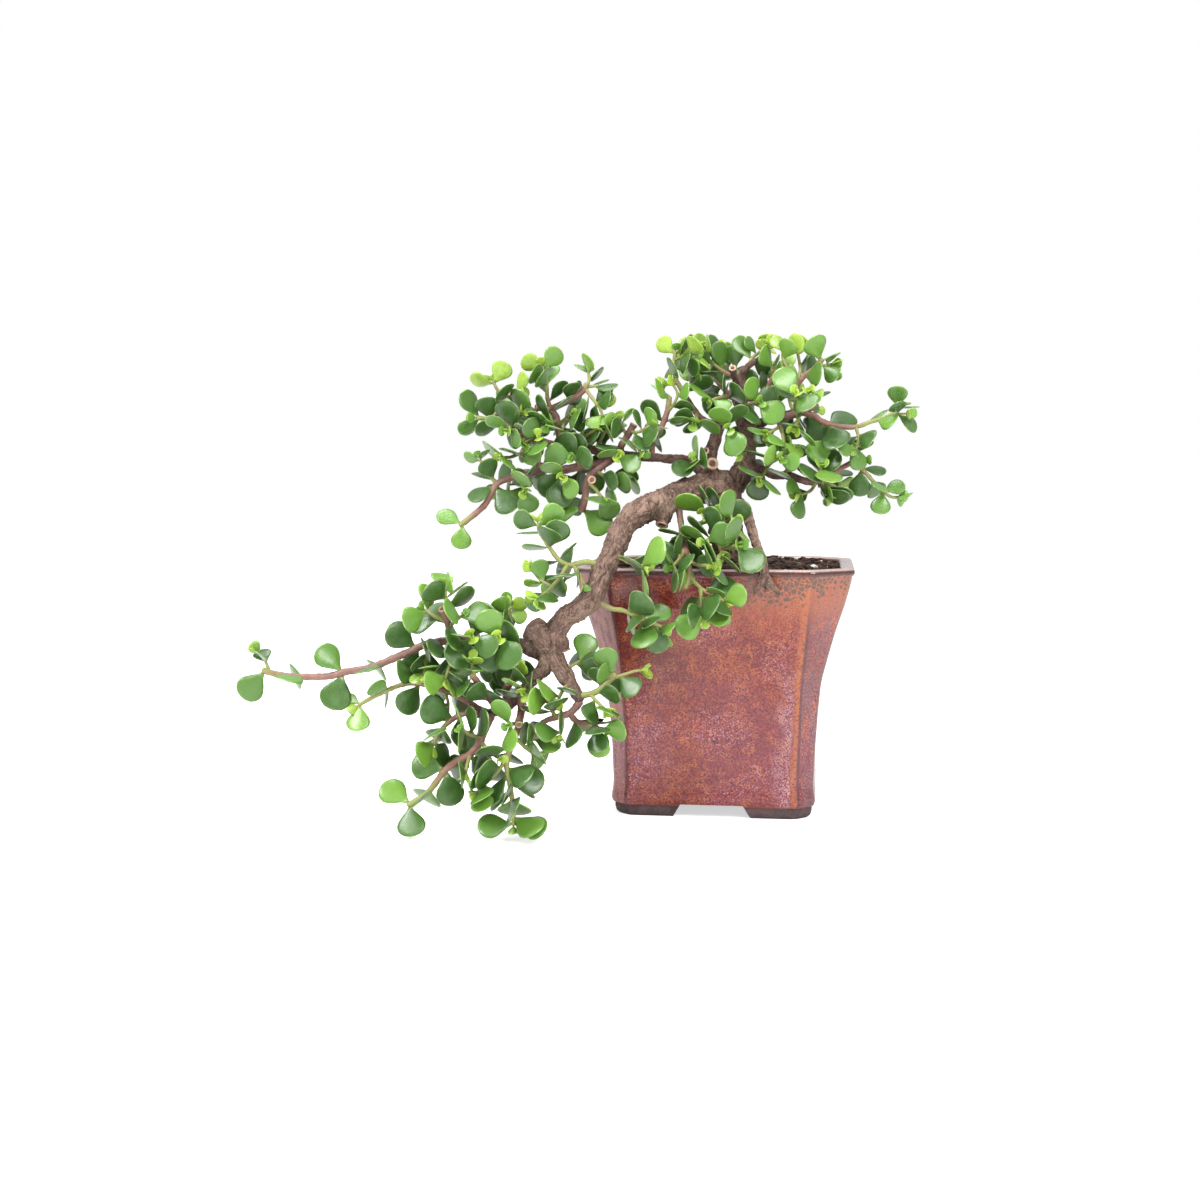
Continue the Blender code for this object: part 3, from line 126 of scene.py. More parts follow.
def pot_ring(half, leg, height, soft=EDGE_ROUND):
    """One level of the pot: a square with cut corners whose eight edges are rounded."""
    corners = []
    for k in range(4):
        for x, y in ((half, half - leg), (half - leg, half)):
            for turn in range(k):
                x, y = -y, x
            corners.append(Vector((x, y, height)))
    ring = []
    for i, corner in enumerate(corners):
        before = corner + (corners[i - 1] - corner).normalized() * soft
        after = corner + (corners[(i + 1) % 8] - corner).normalized() * soft
        for t in (0.0, 0.25, 0.5, 0.75, 1.0):
            ring.append(before * (1 - t) ** 2 + corner * (2 * t * (1 - t)) + after * t ** 2)
        flat = corners[(i + 1) % 8] + (corner - corners[(i + 1) % 8]).normalized() * soft
        for t in ((0.2, 0.4, 0.6, 0.8) if i % 2 else (0.5,)):
            ring.append(after.lerp(flat, t))
    return ring


def inner_ring(height, back):
    return pot_ring(half_at(height) - back, cut_at(height) - CUT_LESS * back, height)


def mesh_from(name, points, faces, smooth=True):
    """A mesh object from points in millimetres round the pot's axis."""
    mesh = bpy.data.meshes.new(name)
    mesh.from_pydata([tuple(p * MM + POT_AXIS) for p in points], [], faces)
    mesh.validate()
    solid = bpy.data.objects.new(name, mesh)
    bpy.context.scene.collection.objects.link(solid)
    if smooth:
        mesh.shade_smooth()
    return solid


def tube_faces(rows, sides, start=0):
    """The faces of a closed skin over rows of equal count: its sides, its foot, its top."""
    faces = [(i * sides + k, i * sides + (k + 1) % sides, (i + 1) * sides + (k + 1) % sides,
              (i + 1) * sides + k) for i in range(rows - 1) for k in range(sides)]
    faces += [tuple(range(sides))[::-1], tuple(range((rows - 1) * sides, rows * sides))]
    return [tuple(start + n for n in face) for face in faces]


def loft(name, rings):
    """A closed body skinned through rings of equal count."""
    return mesh_from(name, [point for ring in rings for point in ring],
                     tube_faces(len(rings), len(rings[0])))


def block(foot, top):
    """A cutter from under the foot to the notch's height, by its half sizes at both ends."""
    points = []
    for (x, y), z in ((foot, -1.0), (top, NOTCH_HEIGHT)):
        points += [Vector((-x, -y, z)), Vector((x, -y, z)), Vector((x, y, z)), Vector((-x, y, z))]
    return mesh_from("cutter", points, [[3, 2, 1, 0], [4, 5, 6, 7], [0, 1, 5, 4], [1, 2, 6, 5],
                                        [2, 3, 7, 6], [3, 0, 4, 7]], False)


def finish_step(solid, kind, **settings):
    """One modifier with its settings, worked into the mesh."""
    step = solid.modifiers.new("step", kind)
    for key, value in settings.items():
        setattr(step, key, value)
    bpy.context.view_layer.objects.active = solid
    bpy.context.view_layer.update()
    bpy.ops.object.modifier_apply(modifier=step.name)


def cut_out(solid, cutter):
    finish_step(solid, 'BOOLEAN', object=cutter, solver='EXACT')
    bpy.data.objects.remove(cutter)


pot_rings = [pot_ring(BASE_WIDTH / 2 + outward, BASE_CUT - less, height)
             for height, outward, less in FOOT_LEVELS]
level = WALL_START
while level < WALL_END:
    pot_rings.append(pot_ring(half_at(level), cut_at(level), level))
    level += WALL_STEP
for height, inward in LIP_LEVELS:
    pot_rings.append(pot_ring(RIM_WIDTH / 2 - inward, RIM_CUT - CUT_LESS * max(inward, 0), height))
for height in (INSIDE_TOP, *reversed(INSIDE_LEVELS)):
    pot_rings.append(inner_ring(height, WALL))
pot_rings.append(pot_ring(BASE_WIDTH / 2 - WALL - 1.5, BASE_CUT - 4.5, FLOOR_TOP, 1.5))
for ring in pot_rings[10:]:
    for point in ring:
        if point.z < INSIDE_TOP + 0.5:
            out = Vector((point.x, point.y, 0)).normalized()
            point += out * (noise.noise(point * HAND_WAVE) * HAND_SIZE)
pot = loft("glazed_pot", pot_rings)
cut_out(pot, block((NOTCH_HALF, RIM_WIDTH), (NOTCH_HALF - 5, RIM_WIDTH)))
cut_out(pot, block((RIM_WIDTH, NOTCH_HALF), (RIM_WIDTH, NOTCH_HALF - 5)))
cut_out(pot, block((HOLLOW_HALF, HOLLOW_HALF), (HOLLOW_HALF - 1, HOLLOW_HALF - 1)))
circle = [Vector((math.cos(2 * math.pi * i / 40), math.sin(2 * math.pi * i / 40), 0)) * DRAIN_RADIUS
          for i in range(40)]
cut_out(pot, loft("drain", [[p + Vector((0, 0, z)) for p in circle] for z in (-1, 24)]))


class Nodes:
    """The nodes of one material or group, with short ways to add them."""

    def __init__(self, tree, spot=None):
        self.tree, self.spot = tree, spot

    def add(self, kind, sockets=None, **settings):
        """A node with its settings, and a value or a link for each named socket."""
        made = self.tree.nodes.new(kind)
        for key, value in settings.items():
            setattr(made, key, value)
        for key, value in (sockets or {}).items():
            if isinstance(value, bpy.types.NodeSocket):
                self.tree.links.new(value, made.inputs[key])
            else:
                made.inputs[key].default_value = value
        return made

    def math(self, how, *values):
        return self.add("ShaderNodeMath", dict(enumerate(values)), operation=how).outputs[0]

    def times(self, share, *others):
        for other in others:
            share = self.math('MULTIPLY', share, other)
        return share

    def between(self, value, low, high, start=0.0, end=1.0):
        """Spreads the part of a value between two limits over 0 to 1, smoothly."""
        return self.add("ShaderNodeMapRange", {"Value": value, "From Min": low, "From Max": high,
                                               "To Min": start, "To Max": end},
                        interpolation_type='SMOOTHSTEP').outputs[0]

    def cloud(self, scale, detail=3.0, rough=0.55, where=None):
        return self.add("ShaderNodeTexNoise", {
            "Vector": self.spot if where is None else where, "Scale": scale,
            "Detail": detail, "Roughness": rough}).outputs[0]

    def patch(self, scale, low, high, detail=3.0, rough=0.55):
        return self.between(self.cloud(scale, detail, rough), low, high)

    def cells(self, scale, what='F1'):
        return self.add("ShaderNodeTexVoronoi", {"Vector": self.spot, "Scale": scale},
                        feature=what).outputs["Distance"]

    def blend(self, share, low, high):
        """Mixes two colours by a share."""
        low, high = (tone if isinstance(tone, bpy.types.NodeSocket) else (*tone, 1.0)
                     for tone in (low, high))
        return self.add("ShaderNodeMix", {0: share, 6: low, 7: high}, data_type='RGBA',
                        clamp_result=True).outputs[2]


def group_of(name, **sockets):
    """A shader group with its named sockets, marked out_ where they lead out of it."""
    group = bpy.data.node_groups.new(name, 'ShaderNodeTree')
    for label, kind in sockets.items():
        way = 'OUTPUT' if label.startswith("out_") else 'INPUT'
        label = label.removeprefix("out_").replace("_", " ")
        group.interface.new_socket(label, in_out=way, socket_type="NodeSocket" + kind)
    given = group.nodes.new("NodeGroupInput").outputs
    return group, Nodes(group, given["Place"]), given


# A second tone in soft patches of one size, as old wood, leaves, stems, clay and glaze show.
PATCHES, inside, given = group_of(
    "tone_patches", Place="Vector", Scale="Float", Detail="Float", Roughness="Float",
    Low="Float", High="Float", Strength="Float", Base="Color", Tone="Color", out_Colour="Color",
    out_Cloud="Float")
patches = inside.cloud(given["Scale"], given["Detail"], given["Roughness"])
share = inside.times(inside.between(patches, given["Low"], given["High"]), given["Strength"])
inside.add("NodeGroupOutput", {"Colour": inside.blend(share, given["Base"], given["Tone"]),
                               "Cloud": patches})

# The grain that the bare clay, the soil and the pruned ends share: two tones in a cloud of
# one size, and a finer relief.
GRAIN, inside, given = group_of(
    "fine_grain", Place="Vector", Grain_Scale="Float", Relief_Scale="Float", Dark="Color",
    Light="Color", out_Colour="Color", out_Height="Float")
share = inside.between(inside.cloud(given["Grain Scale"], 5.0, 0.6), 0.3, 0.7)
inside.add("NodeGroupOutput", {"Colour": inside.blend(share, given["Dark"], given["Light"]),
                               "Height": inside.cloud(given["Relief Scale"], 4.0)})


class Finish(Nodes):
    """A material as it is mixed: its shader, the colour so far, and where a point lies."""

    def __init__(self, name, rough):
        self.material = bpy.data.materials.new(name)
        self.material.use_nodes = True
        super().__init__(self.material.node_tree)
        self.shader = self.tree.nodes["Principled BSDF"]
        self.plain("Roughness", rough)
        self.spot = self.add("ShaderNodeVectorMath", {
            0: self.add("ShaderNodeTexCoord").outputs["Object"], 1: tuple(POT_AXIS)},
            operation='SUBTRACT').outputs[0]

    def plain(self, socket, value):
        self.shader.inputs[socket].default_value = value

    def link(self, socket, value):
        self.tree.links.new(value, self.shader.inputs[socket])

    def noted(self, name):
        """What the mesh notes at each point under a name."""
        return self.add("ShaderNodeAttribute", attribute_name=name).outputs

    def paint(self, tone, *shares):
        """Lays a tone over the colour so far, as strongly as all the shares together."""
        self.colour = self.blend(self.times(*shares), self.colour, tone)

    def patches(self, tone, scale, low, high, strength, detail=3.0, rough=0.6):
        """Lays a tone on in patches, and gives the cloud that they come from."""
        placed = self.add("ShaderNodeGroup", {
            "Place": self.spot, "Scale": scale, "Detail": detail, "Roughness": rough, "Low": low,
            "High": high, "Strength": strength, "Base": self.colour, "Tone": (*tone, 1.0)},
            node_tree=PATCHES)
        self.colour = placed.outputs["Colour"]
        return placed.outputs["Cloud"]

    def grained(self, grain_scale, relief_scale, dark, light, depth, strength):
        """Colour and relief of the shared grain, at this material's own sizes and tones."""
        placed = self.add("ShaderNodeGroup", {
            "Place": self.spot, "Grain Scale": grain_scale, "Relief Scale": relief_scale,
            "Dark": (*dark, 1.0), "Light": (*light, 1.0)}, node_tree=GRAIN)
        self.colour = placed.outputs["Colour"]
        self.raised(placed.outputs["Height"], depth, strength)

    def raised(self, height, depth, strength):
        self.link("Normal", self.add("ShaderNodeBump", {
            "Strength": strength, "Distance": depth, "Height": height}).outputs[0])

    def done(self):
        """Gives the colour to the shader; the material is then ready."""
        self.link("Base Color", self.colour)
        return self.material


glaze = Finish("brick_red_glaze", 0.16)
east, north, up = glaze.add("ShaderNodeSeparateXYZ", {0: glaze.spot}).outputs
spans = [glaze.math('ABSOLUTE', way) for way in (east, north)]
toward_edge = glaze.math('DIVIDE', glaze.math('MINIMUM', *spans), glaze.math('MAXIMUM', *spans))
corner = glaze.math('MULTIPLY_ADD', glaze.between(up, 0.055, 0.150), -0.121, 0.848)
past = glaze.math('SUBTRACT', toward_edge, corner)
right = glaze.between(east, -0.01, 0.02)
far_right = glaze.between(east, 0.0, 0.03)
body = glaze.blend(glaze.patch(34.0, 0.35, 0.66, 6.0, 0.72), (0.165, 0.013, 0.015),
                   (0.27, 0.034, 0.021))
glaze.colour = glaze.blend(glaze.patch(760.0, 0.40, 0.62, 2.0, 0.6),
                           glaze.blend(0.50, body, (0.10, 0.010, 0.013)),
                           glaze.blend(0.36, body, (0.42, 0.12, 0.062)))
# Low on the wall the glaze cooled more purple. Higher on the left, under the trunk's side, a
# painted shadow of the foliage darkens it.
glaze.paint((0.165, 0.030, 0.055), glaze.patch(19.0, 0.40, 0.60),
            glaze.between(up, 0.11, 0.05), 0.5)
shade = glaze.times(glaze.between(east, 0.01, -0.06), glaze.between(up, 0.05, 0.12))
glaze.paint((0.105, 0.012, 0.014), shade, 0.75)
# Orange breaks: fine rings and flecks where iron shows through.
glaze.paint((0.50, 0.15, 0.04), glaze.between(glaze.cells(640.0, 'DISTANCE_TO_EDGE'), 0.13, 0.03),
            glaze.patch(120.0, 0.44, 0.64, 5.0, 0.7), 0.75)
# White, lilac and grey specks, with dark pits between them; the specks fade in the painted shadow.
glaze.paint((0.44, 0.23, 0.33), glaze.patch(1100.0, 0.58, 0.65, 1.0, 0.4),
            glaze.patch(30.0, 0.40, 0.66, 2.0), glaze.between(shade, 0.5, 0.1), 0.75)
glaze.patches((0.062, 0.010, 0.020), 900.0, 0.42, 0.35, 0.8, 1.0, 0.4)
# A speckled pale band beside the right-hand corner, then an orange run down its edge.
glaze.paint((0.50, 0.33, 0.39), glaze.between(past, -0.30, -0.13),
            glaze.between(past, -0.06, -0.10), right, glaze.between(up, 0.10, 0.045),
            glaze.patch(30.0, 0.36, 0.56), glaze.patch(1250.0, 0.48, 0.58, 2.0, 0.6), 0.75)
glaze.paint((0.36, 0.11, 0.042), glaze.between(past, -0.10, -0.04),
            glaze.between(past, 0.0, -0.03), glaze.patch(700.0, 0.38, 0.56, 3.0, 0.7), right)
# The narrow corner faces: dark and blue-grey on the right, pale pink on the left.
streak = glaze.cloud(330.0, where=glaze.add("ShaderNodeVectorMath", {
    0: glaze.spot, 1: (1.0, 1.0, 0.10)}, operation='MULTIPLY').outputs[0])
glaze.paint(glaze.blend(right, (0.40, 0.17, 0.16), (0.125, 0.075, 0.09)),
            glaze.between(past, 0.0, 0.03), glaze.between(streak, 0.36, 0.54), 0.5)
off_corner = glaze.math('ABSOLUTE', glaze.math('SUBTRACT', past, 0.004))
glaze.paint((0.085, 0.036, 0.042), glaze.between(off_corner, 0.026, 0.010),
            glaze.between(streak, 0.26, 0.42), 0.8)
# Olive grey pools, cracked with orange, hang below the lip.
crackle = glaze.cells(340.0, 'DISTANCE_TO_EDGE')
drip = glaze.math('MULTIPLY_ADD', glaze.cloud(75.0, 4.0, 0.65), 1.5,
                  glaze.between(up, 0.098, 0.142, -0.25, 0.50))
pool = glaze.between(glaze.math('ADD', crackle, drip), 1.33, 1.39)
glaze.paint((0.38, 0.115, 0.050), glaze.between(up, 0.105, 0.13), far_right, 0.6)
glaze.paint((0.085, 0.058, 0.040), pool, glaze.between(crackle, 0.04, 0.11), far_right, 0.85)
# A dark line under the lip, the thin pale glaze on it, lightened further as a painted highlight,
# and a brown roll above the feet.
glaze.paint((0.050, 0.020, 0.022), glaze.between(up, 0.1406, 0.1418),
            glaze.between(up, 0.1442, 0.1434), 0.85)
glaze.paint((0.42, 0.36, 0.355), glaze.between(up, 0.1435, 0.1447), 0.85)
glaze.paint((0.16, 0.05, 0.035), glaze.between(up, 0.0085, 0.0065), 0.7)
glaze.raised(glaze.math('ADD', glaze.times(glaze.cloud(260.0, 2.0), 0.7),
                        glaze.times(glaze.cells(520.0), 0.25)), 0.0006, 0.55)
glaze.link("Roughness", glaze.math('MULTIPLY_ADD', glaze.cloud(90.0), 0.16, 0.12))
glaze.plain("IOR", 1.52)

clay = Finish("bare_dark_clay", 0.82)
clay.grained(90.0, 700.0, (0.050, 0.029, 0.031), (0.100, 0.062, 0.066), 0.0005, 0.7)
clay.patches((0.22, 0.16, 0.14), 900.0, 0.62, 0.7, 0.3, 1.0, 0.55)

# Bare clay shows on the feet, in the notches, under the floor and inside.
pot.data.materials.append(glaze.done())
pot.data.materials.append(clay.done())
GLAZE_STOPS = 6.45 * MM
for face in pot.data.polygons:
    middle = face.center - POT_AXIS
    low = middle.z < (FLOOR_TOP - 0.5) * MM
    deep = max(abs(middle.x), abs(middle.y)) < (HOLLOW_HALF + 0.5) * MM and low
    inside = (FLOOR_TOP - 0.5) * MM < middle.z < 139.0 * MM and face.normal.dot(
        Vector((middle.x, middle.y, 0))) < 0
    notch = abs(middle.z - NOTCH_HEIGHT * MM) < 0.2 * MM and face.normal.z < -0.9
    face.material_index = 1 if middle.z < GLAZE_STOPS or deep or inside or notch else 0
pot.data.set_sharp_from_angle(angle=math.radians(40))
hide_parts("pot")
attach(pot, "root")

# The soil: coarse composted bark with grit and a little white pumice, filled to the rim.
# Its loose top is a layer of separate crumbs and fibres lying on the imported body.
SOIL_EDGE = POT_HEIGHT - 2.0
SOIL_HEAP = POT_HEIGHT + 1.4
SOIL_ROOM = 0.45  # the gap between soil and wall
HEAP_REACH = 78.0
VIEW_TURN = 0.135  # the photo looks at the pot turned by this many radians
ACROSS = Vector((math.cos(VIEW_TURN), math.sin(VIEW_TURN), 0.0))
AWAY = Vector((-math.sin(VIEW_TURN), math.cos(VIEW_TURN), 0.0))
UP = Vector((0.0, 0.0, 1.0))
trunk_foot = ACROSS * 5 + UP * 97


def soil_height(x, y):
    out = clamp(math.hypot(x - trunk_foot.x, y - trunk_foot.y) / HEAP_REACH)
    lump = noise.fractal(Vector((x, y, 3.0)) * 0.14, 0.6, 2.0, 4) * 1.6
    return SOIL_HEAP - 0.9 + (SOIL_EDGE - SOIL_HEAP) * out ** 2 + lump


def in_rim(x, y, back):
    half = half_at(SOIL_EDGE) - WALL - back
    slant = 2 * half - cut_at(SOIL_EDGE) + CUT_LESS * (WALL + back)
    return abs(x) < half and abs(y) < half and abs(x) + abs(y) < slant


rings = [pot_ring(BASE_WIDTH / 2 - WALL - 2.0, BASE_CUT - 4.8, FLOOR_TOP + 0.4, 1.5)]
rings += [inner_ring(height, WALL + SOIL_ROOM) for height in (*INSIDE_LEVELS, SOIL_EDGE)]
rim_ring = rings[-1]
for k in range(1, 40):
    rings.append([])
    for out in rim_ring:
        x = trunk_foot.x + (out.x - trunk_foot.x) * (1 - k / 40)
        y = trunk_foot.y + (out.y - trunk_foot.y) * (1 - k / 40)
        rings[-1].append(Vector((x, y, soil_height(x, y))))
soil = loft("soil_body", rings)

CRUMBS = 1250
CRUMB_SIZES = (0.7, 0.9, 1.2, 1.6, 2.1)
TRUNK_ROOM = 10.6
# Each kind of crumb: its name, how many in a hundred, its dark tone and its light tone.
SOIL_KINDS = (("soil_dark_bark", 64, (0.020, 0.010, 0.007), (0.058, 0.028, 0.018)),
              ("soil_red_bark", 26, (0.050, 0.022, 0.013), (0.12, 0.055, 0.034)),
              ("soil_grit", 8, (0.07, 0.052, 0.042), (0.16, 0.125, 0.10)),
              ("soil_pumice", 2, (0.50, 0.47, 0.42), (0.78, 0.75, 0.70)))
crumbs = bmesh.new()
draw = random.Random(21)
count = 0
for k in range(1700):
    if count >= CRUMBS:
        break
    x, y = draw.uniform(-72, 72), draw.uniform(-72, 72)
    if not in_rim(x, y, 1.6) or math.hypot(x - trunk_foot.x, y - trunk_foot.y) < TRUNK_ROOM:
        continue
    size = draw.choice(CRUMB_SIZES)
    kind = draw.choices((0, 1, 2, 3), [row[1] for row in SOIL_KINDS])[0]
    fibre = kind < 2 and draw.random() < 0.25
    made = bmesh.ops.create_icosphere(crumbs, subdivisions=1, radius=1.0)["verts"]
    tilt, spare, turn = (draw.uniform(*ends) for ends in ((-0.5, 0.5), (-0.5, 0.5), (0, 6.28)))
    long, wide = (2.6, 0.75) if fibre else (draw.uniform(0.9, 1.5), 1.0)
    seat = Vector((x, y, soil_height(x, y) + size * 0.25))
    for vertex in made:
        p = vertex.co * (1 + 0.55 * noise.noise(vertex.co * 1.3 + Vector((k * 3.7, k, 0))))
        p = Vector((p.x * long, p.y * wide, p.z * 0.7)) * size
        p = Vector((p.x * math.cos(turn) - p.y * math.sin(turn),
                    p.x * math.sin(turn) + p.y * math.cos(turn), p.z + p.x * tilt * 0.5))
        vertex.co = (p + seat) * MM + POT_AXIS
    for face in {face for vertex in made for face in vertex.link_faces}:
        face.material_index = kind
    count += 1
grit = bpy.data.meshes.new("soil_crumbs")
crumbs.to_mesh(grit)
crumbs.free()
grit_piece = bpy.data.objects.new("soil_crumbs", grit)
bpy.context.scene.collection.objects.link(grit_piece)
for name, share, dark, light in SOIL_KINDS:
    material = Finish(name, 0.94)
    material.grained(260.0, 900.0, dark, light, 0.0005, 0.8)
    grit.materials.append(material.done())
soil.data.materials.append(grit.materials[0])
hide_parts("soil")
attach(soil, "root")
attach(grit_piece, "root")

# The trunk and its woody limbs: one piece of living wood with cracked grey-brown bark.
# It rises from the soil, arches over the rim and falls past the pot; an aerial root runs down it.
EYE_DISTANCE = 1000.0
EYE = ACROSS * -72.0 - AWAY * EYE_DISTANCE + UP * 200.0
# Points are (across, up, toward the eye, radius) in mm. The last three limbs are the root.
TRUNK = ((5, 97, 4, 10.5), (5, 120, 4, 10.5), (5, 143, 4, 10.5), (5, 149, 4, 10.5),
         (4.5, 160, 9, 9.4), (4, 174, 18, 9.0), (4, 184, 28, 9.4), (1, 190.5, 35, 9.4),
         (-4, 191, 40, 9.2), (-14, 188, 45, 8.6), (-24, 185, 50, 8.1), (-34, 181, 56, 8.0),
         (-45, 176.5, 63, 7.7), (-53, 171.5, 70, 7.3), (-59, 164, 77, 7.0), (-62.5, 155, 84, 6.7),
         (-66.5, 146, 89, 6.4), (-71, 138, 93, 6.2), (-73.5, 130, 95, 6.4), (-78, 122, 96, 6.6),
         (-85, 116, 97, 6.3), (-92, 111.5, 97, 6.0), (-97, 106, 97, 6.2), (-100.5, 99, 97, 6.6),
         (-101.5, 91, 97, 6.6), (-102, 86, 97, 5.4))
LIMBS = (
    ((-101.5, 90, 97, 5.5), (-106, 80, 96, 4.4), (-111, 75, 95, 3.8), (-116, 70, 94, 3.3),
     (-121, 63, 93, 3.0), (-128, 57, 93, 2.8), (-136, 53.5, 93, 2.6), (-146, 51.5, 93, 2.3)),
    ((-101.5, 90, 97, 5.5), (-97, 82, 98, 5.0), (-93, 75, 99, 4.4), (-88, 67.5, 100, 3.6),
     (-84, 60, 101, 2.8)),
    ((-102, 92, 97, 6.6), (-107, 99, 98, 7.3), (-113.5, 105, 100, 6.7)),
    ((-103, 88, 96, 5.0), (-110, 91, 88, 4.6), (-120, 94.5, 84, 3.9), (-134, 96, 84, 3.3),
     (-150, 97, 86, 2.9), (-165, 97, 88, 2.6)),
    ((5, 187, 30, 7.8), (11, 195, 31, 6.8), (16, 206, 28, 5.2), (16.5, 219, 25, 4.6),
     (13.5, 232, 22, 4.4), (11.5, 244, 22, 4.4), (11.5, 256, 22, 4.3)),
    ((-4, 190, 39, 6.0), (-5.5, 200, 40, 5.0), (-5.5, 209, 40, 3.9), (-3, 218, 38, 3.5),
     (0, 228, 36, 3.2), (2, 236.5, 34, 3.0)),
    ((-7, 194, 38, 5.0), (-13, 202, 38, 3.4), (-21, 206.5, 39, 2.7), (-31, 207, 38, 2.5),
     (-41, 208, 37, 2.5), (-60, 209.5, 36, 2.5), (-80, 213, 34, 2.5), (-95, 214.5, 32, 2.4)),
    ((14, 200, 30, 4.0), (24, 201, 30, 2.8), (33, 197.5, 31, 2.6), (41, 197, 31, 2.5),
     (49, 194.5, 32, 2.3)),
    ((17, 221, 25, 4.0), (27, 229.5, 26, 2.9), (37, 232, 28, 2.5)),
    ((11, 250, 22, 2.6), (8.5, 256, 30, 1.9), (7.5, 261, 37, 1.9)),
    ((11.5, 254, 22, 2.4), (15.5, 261, 26, 1.9), (21, 265.5, 28, 2.0)),
    ((-5.5, 202, 40, 4.2), (-4.5, 204, 48, 3.2)),
    ((-5, 208, 40, 3.0), (-8.5, 211.5, 46, 2.1)),
    ((0, 230, 36, 2.6), (-3.5, 234.5, 43, 1.9)),
    ((-31, 182, 55, 6.0), (-33, 174, 60, 4.9), (-34.5, 168, 63, 3.4)),
    ((-96, 97, 97, 5.0), (-94, 91.5, 97, 3.2)),
    ((7, 183, 27, 5.0), (13.5, 178, 42, 3.8), (17.5, 171, 58, 3.0), (21, 160, 76, 2.6),
     (24.5, 150, 86.5, 2.6), (27, 141, 89.2, 2.5), (28.5, 134, 87.4, 2.5), (30, 128, 85.8, 1.9)),
    ((27.5, 138, 89, 2.4), (24.5, 131, 87.4, 1.7), (21.5, 126, 86.2, 1.1)),
    ((28.5, 136, 88.4, 2.4), (33, 130, 86.4, 1.8), (37, 125.5, 85.3, 1.1)),
)
ROOT_LIMBS = 3
SKIN_CELL = 0.62


def place(across, up, toward):
    """A point on the sight line of a viewer, given in the upright plane through the pot's axis."""
    spot = ACROSS * across + UP * up
    return spot + (EYE - spot) * (toward / EYE_DISTANCE)


def smooth_line(knots, step):
    """Points and radii at even steps along the smooth line through the knots."""
    spots = [(place(k[0], k[1], k[2]) if len(k) == 4 else k[0], k[-1]) for k in knots]
    ends = [spots[0]] + spots + [spots[-1]]
    fine = []
    for i in range(1, len(ends) - 2):
        a, b, c, d = ends[i - 1][0], ends[i][0], ends[i + 1][0], ends[i + 2][0]
        count = max(2, int((c - b).length / 0.5))
        for j in range(count):
            s = j / count
            bend = (2 * a - 5 * b + 4 * c - d) * (s * s)
            turn = (3 * b - 3 * c + d - a) * (s * s * s)
            point = (2 * b + (c - a) * s + bend + turn) * 0.5
            fine.append((point, ends[i][1] * (1 - s) + ends[i + 1][1] * s))
    fine.append(spots[-1])
    reach = [0.0]
    for i in range(1, len(fine)):
        reach.append(reach[-1] + (fine[i][0] - fine[i - 1][0]).length)
    count = max(2, round(reach[-1] / step))
    line = []
    i = 0
    for j in range(count + 1):
        s = reach[-1] * j / count
        while i < len(fine) - 2 and reach[i + 1] < s:
            i += 1
        part = (s - reach[i]) / max(reach[i + 1] - reach[i], 1e-9)
        point = fine[i][0].lerp(fine[i + 1][0], part)
        line.append((point, fine[i][1] * (1 - part) + fine[i + 1][1] * part))
    return line


def heading(line, i):
    return (line[min(i + 1, len(line) - 1)][0] - line[max(i - 1, 0)][0]).normalized()


def level_beside(ahead):
    return ahead.cross(UP if abs(ahead.z) < 0.9 else ACROSS).normalized()


def swept(line, sides, swelling):
    """Points and faces of a round stem along a line, with rounded ends."""
    normal = level_beside(heading(line, 0))
    rows = []
    for i, (point, radius) in enumerate(line):
        ahead = heading(line, i)
        normal = (normal - ahead * normal.dot(ahead)).normalized()
        across = ahead.cross(normal)
        if i == 0:
            rows.append((point - ahead * radius * 0.30, normal, across, radius * 0.55))
        rows.append((point, normal, across, radius * swelling(i, point)))
    rows.append((point + ahead * radius * 0.30, normal, across, radius * 0.55))
    points = []
    for point, normal, across, radius in rows:
        for k in range(sides):
            turn = 2 * math.pi * k / sides
            points.append(point + (normal * math.cos(turn) + across * math.sin(turn)) * radius)
    return points, tube_faces(len(rows), sides)


def shift(faces, start):
    return [tuple(start + n for n in face) for face in faces]


def bark_lumps(radius_here):
    """Swellings of old wood: rings left by fallen leaf pairs and slow lumps."""
    def at(i, point):
        ring = 0.10 * math.exp(-((i % 11) - 5.5) ** 2 / 1.6) if radius_here < 6 else 0.0
        return 1.0 + ring + 0.13 * noise.noise(point * 0.11) + 0.05 * noise.noise(point * 0.4)
    return at


wood_lines = [smooth_line(TRUNK, 1.0)] + [smooth_line(limb, 1.0) for limb in LIMBS]
points, faces = [], []
for line in wood_lines:
    made, skin = swept(line, 20, bark_lumps(line[0][1]))
    faces += shift(skin, len(points))
    points += made
trunk = mesh_from("trunk_and_limbs", points, faces)
finish_step(trunk, 'REMESH', mode='VOXEL', voxel_size=SKIN_CELL * MM)
finish_step(trunk, 'SMOOTH', iterations=4, factor=0.6)

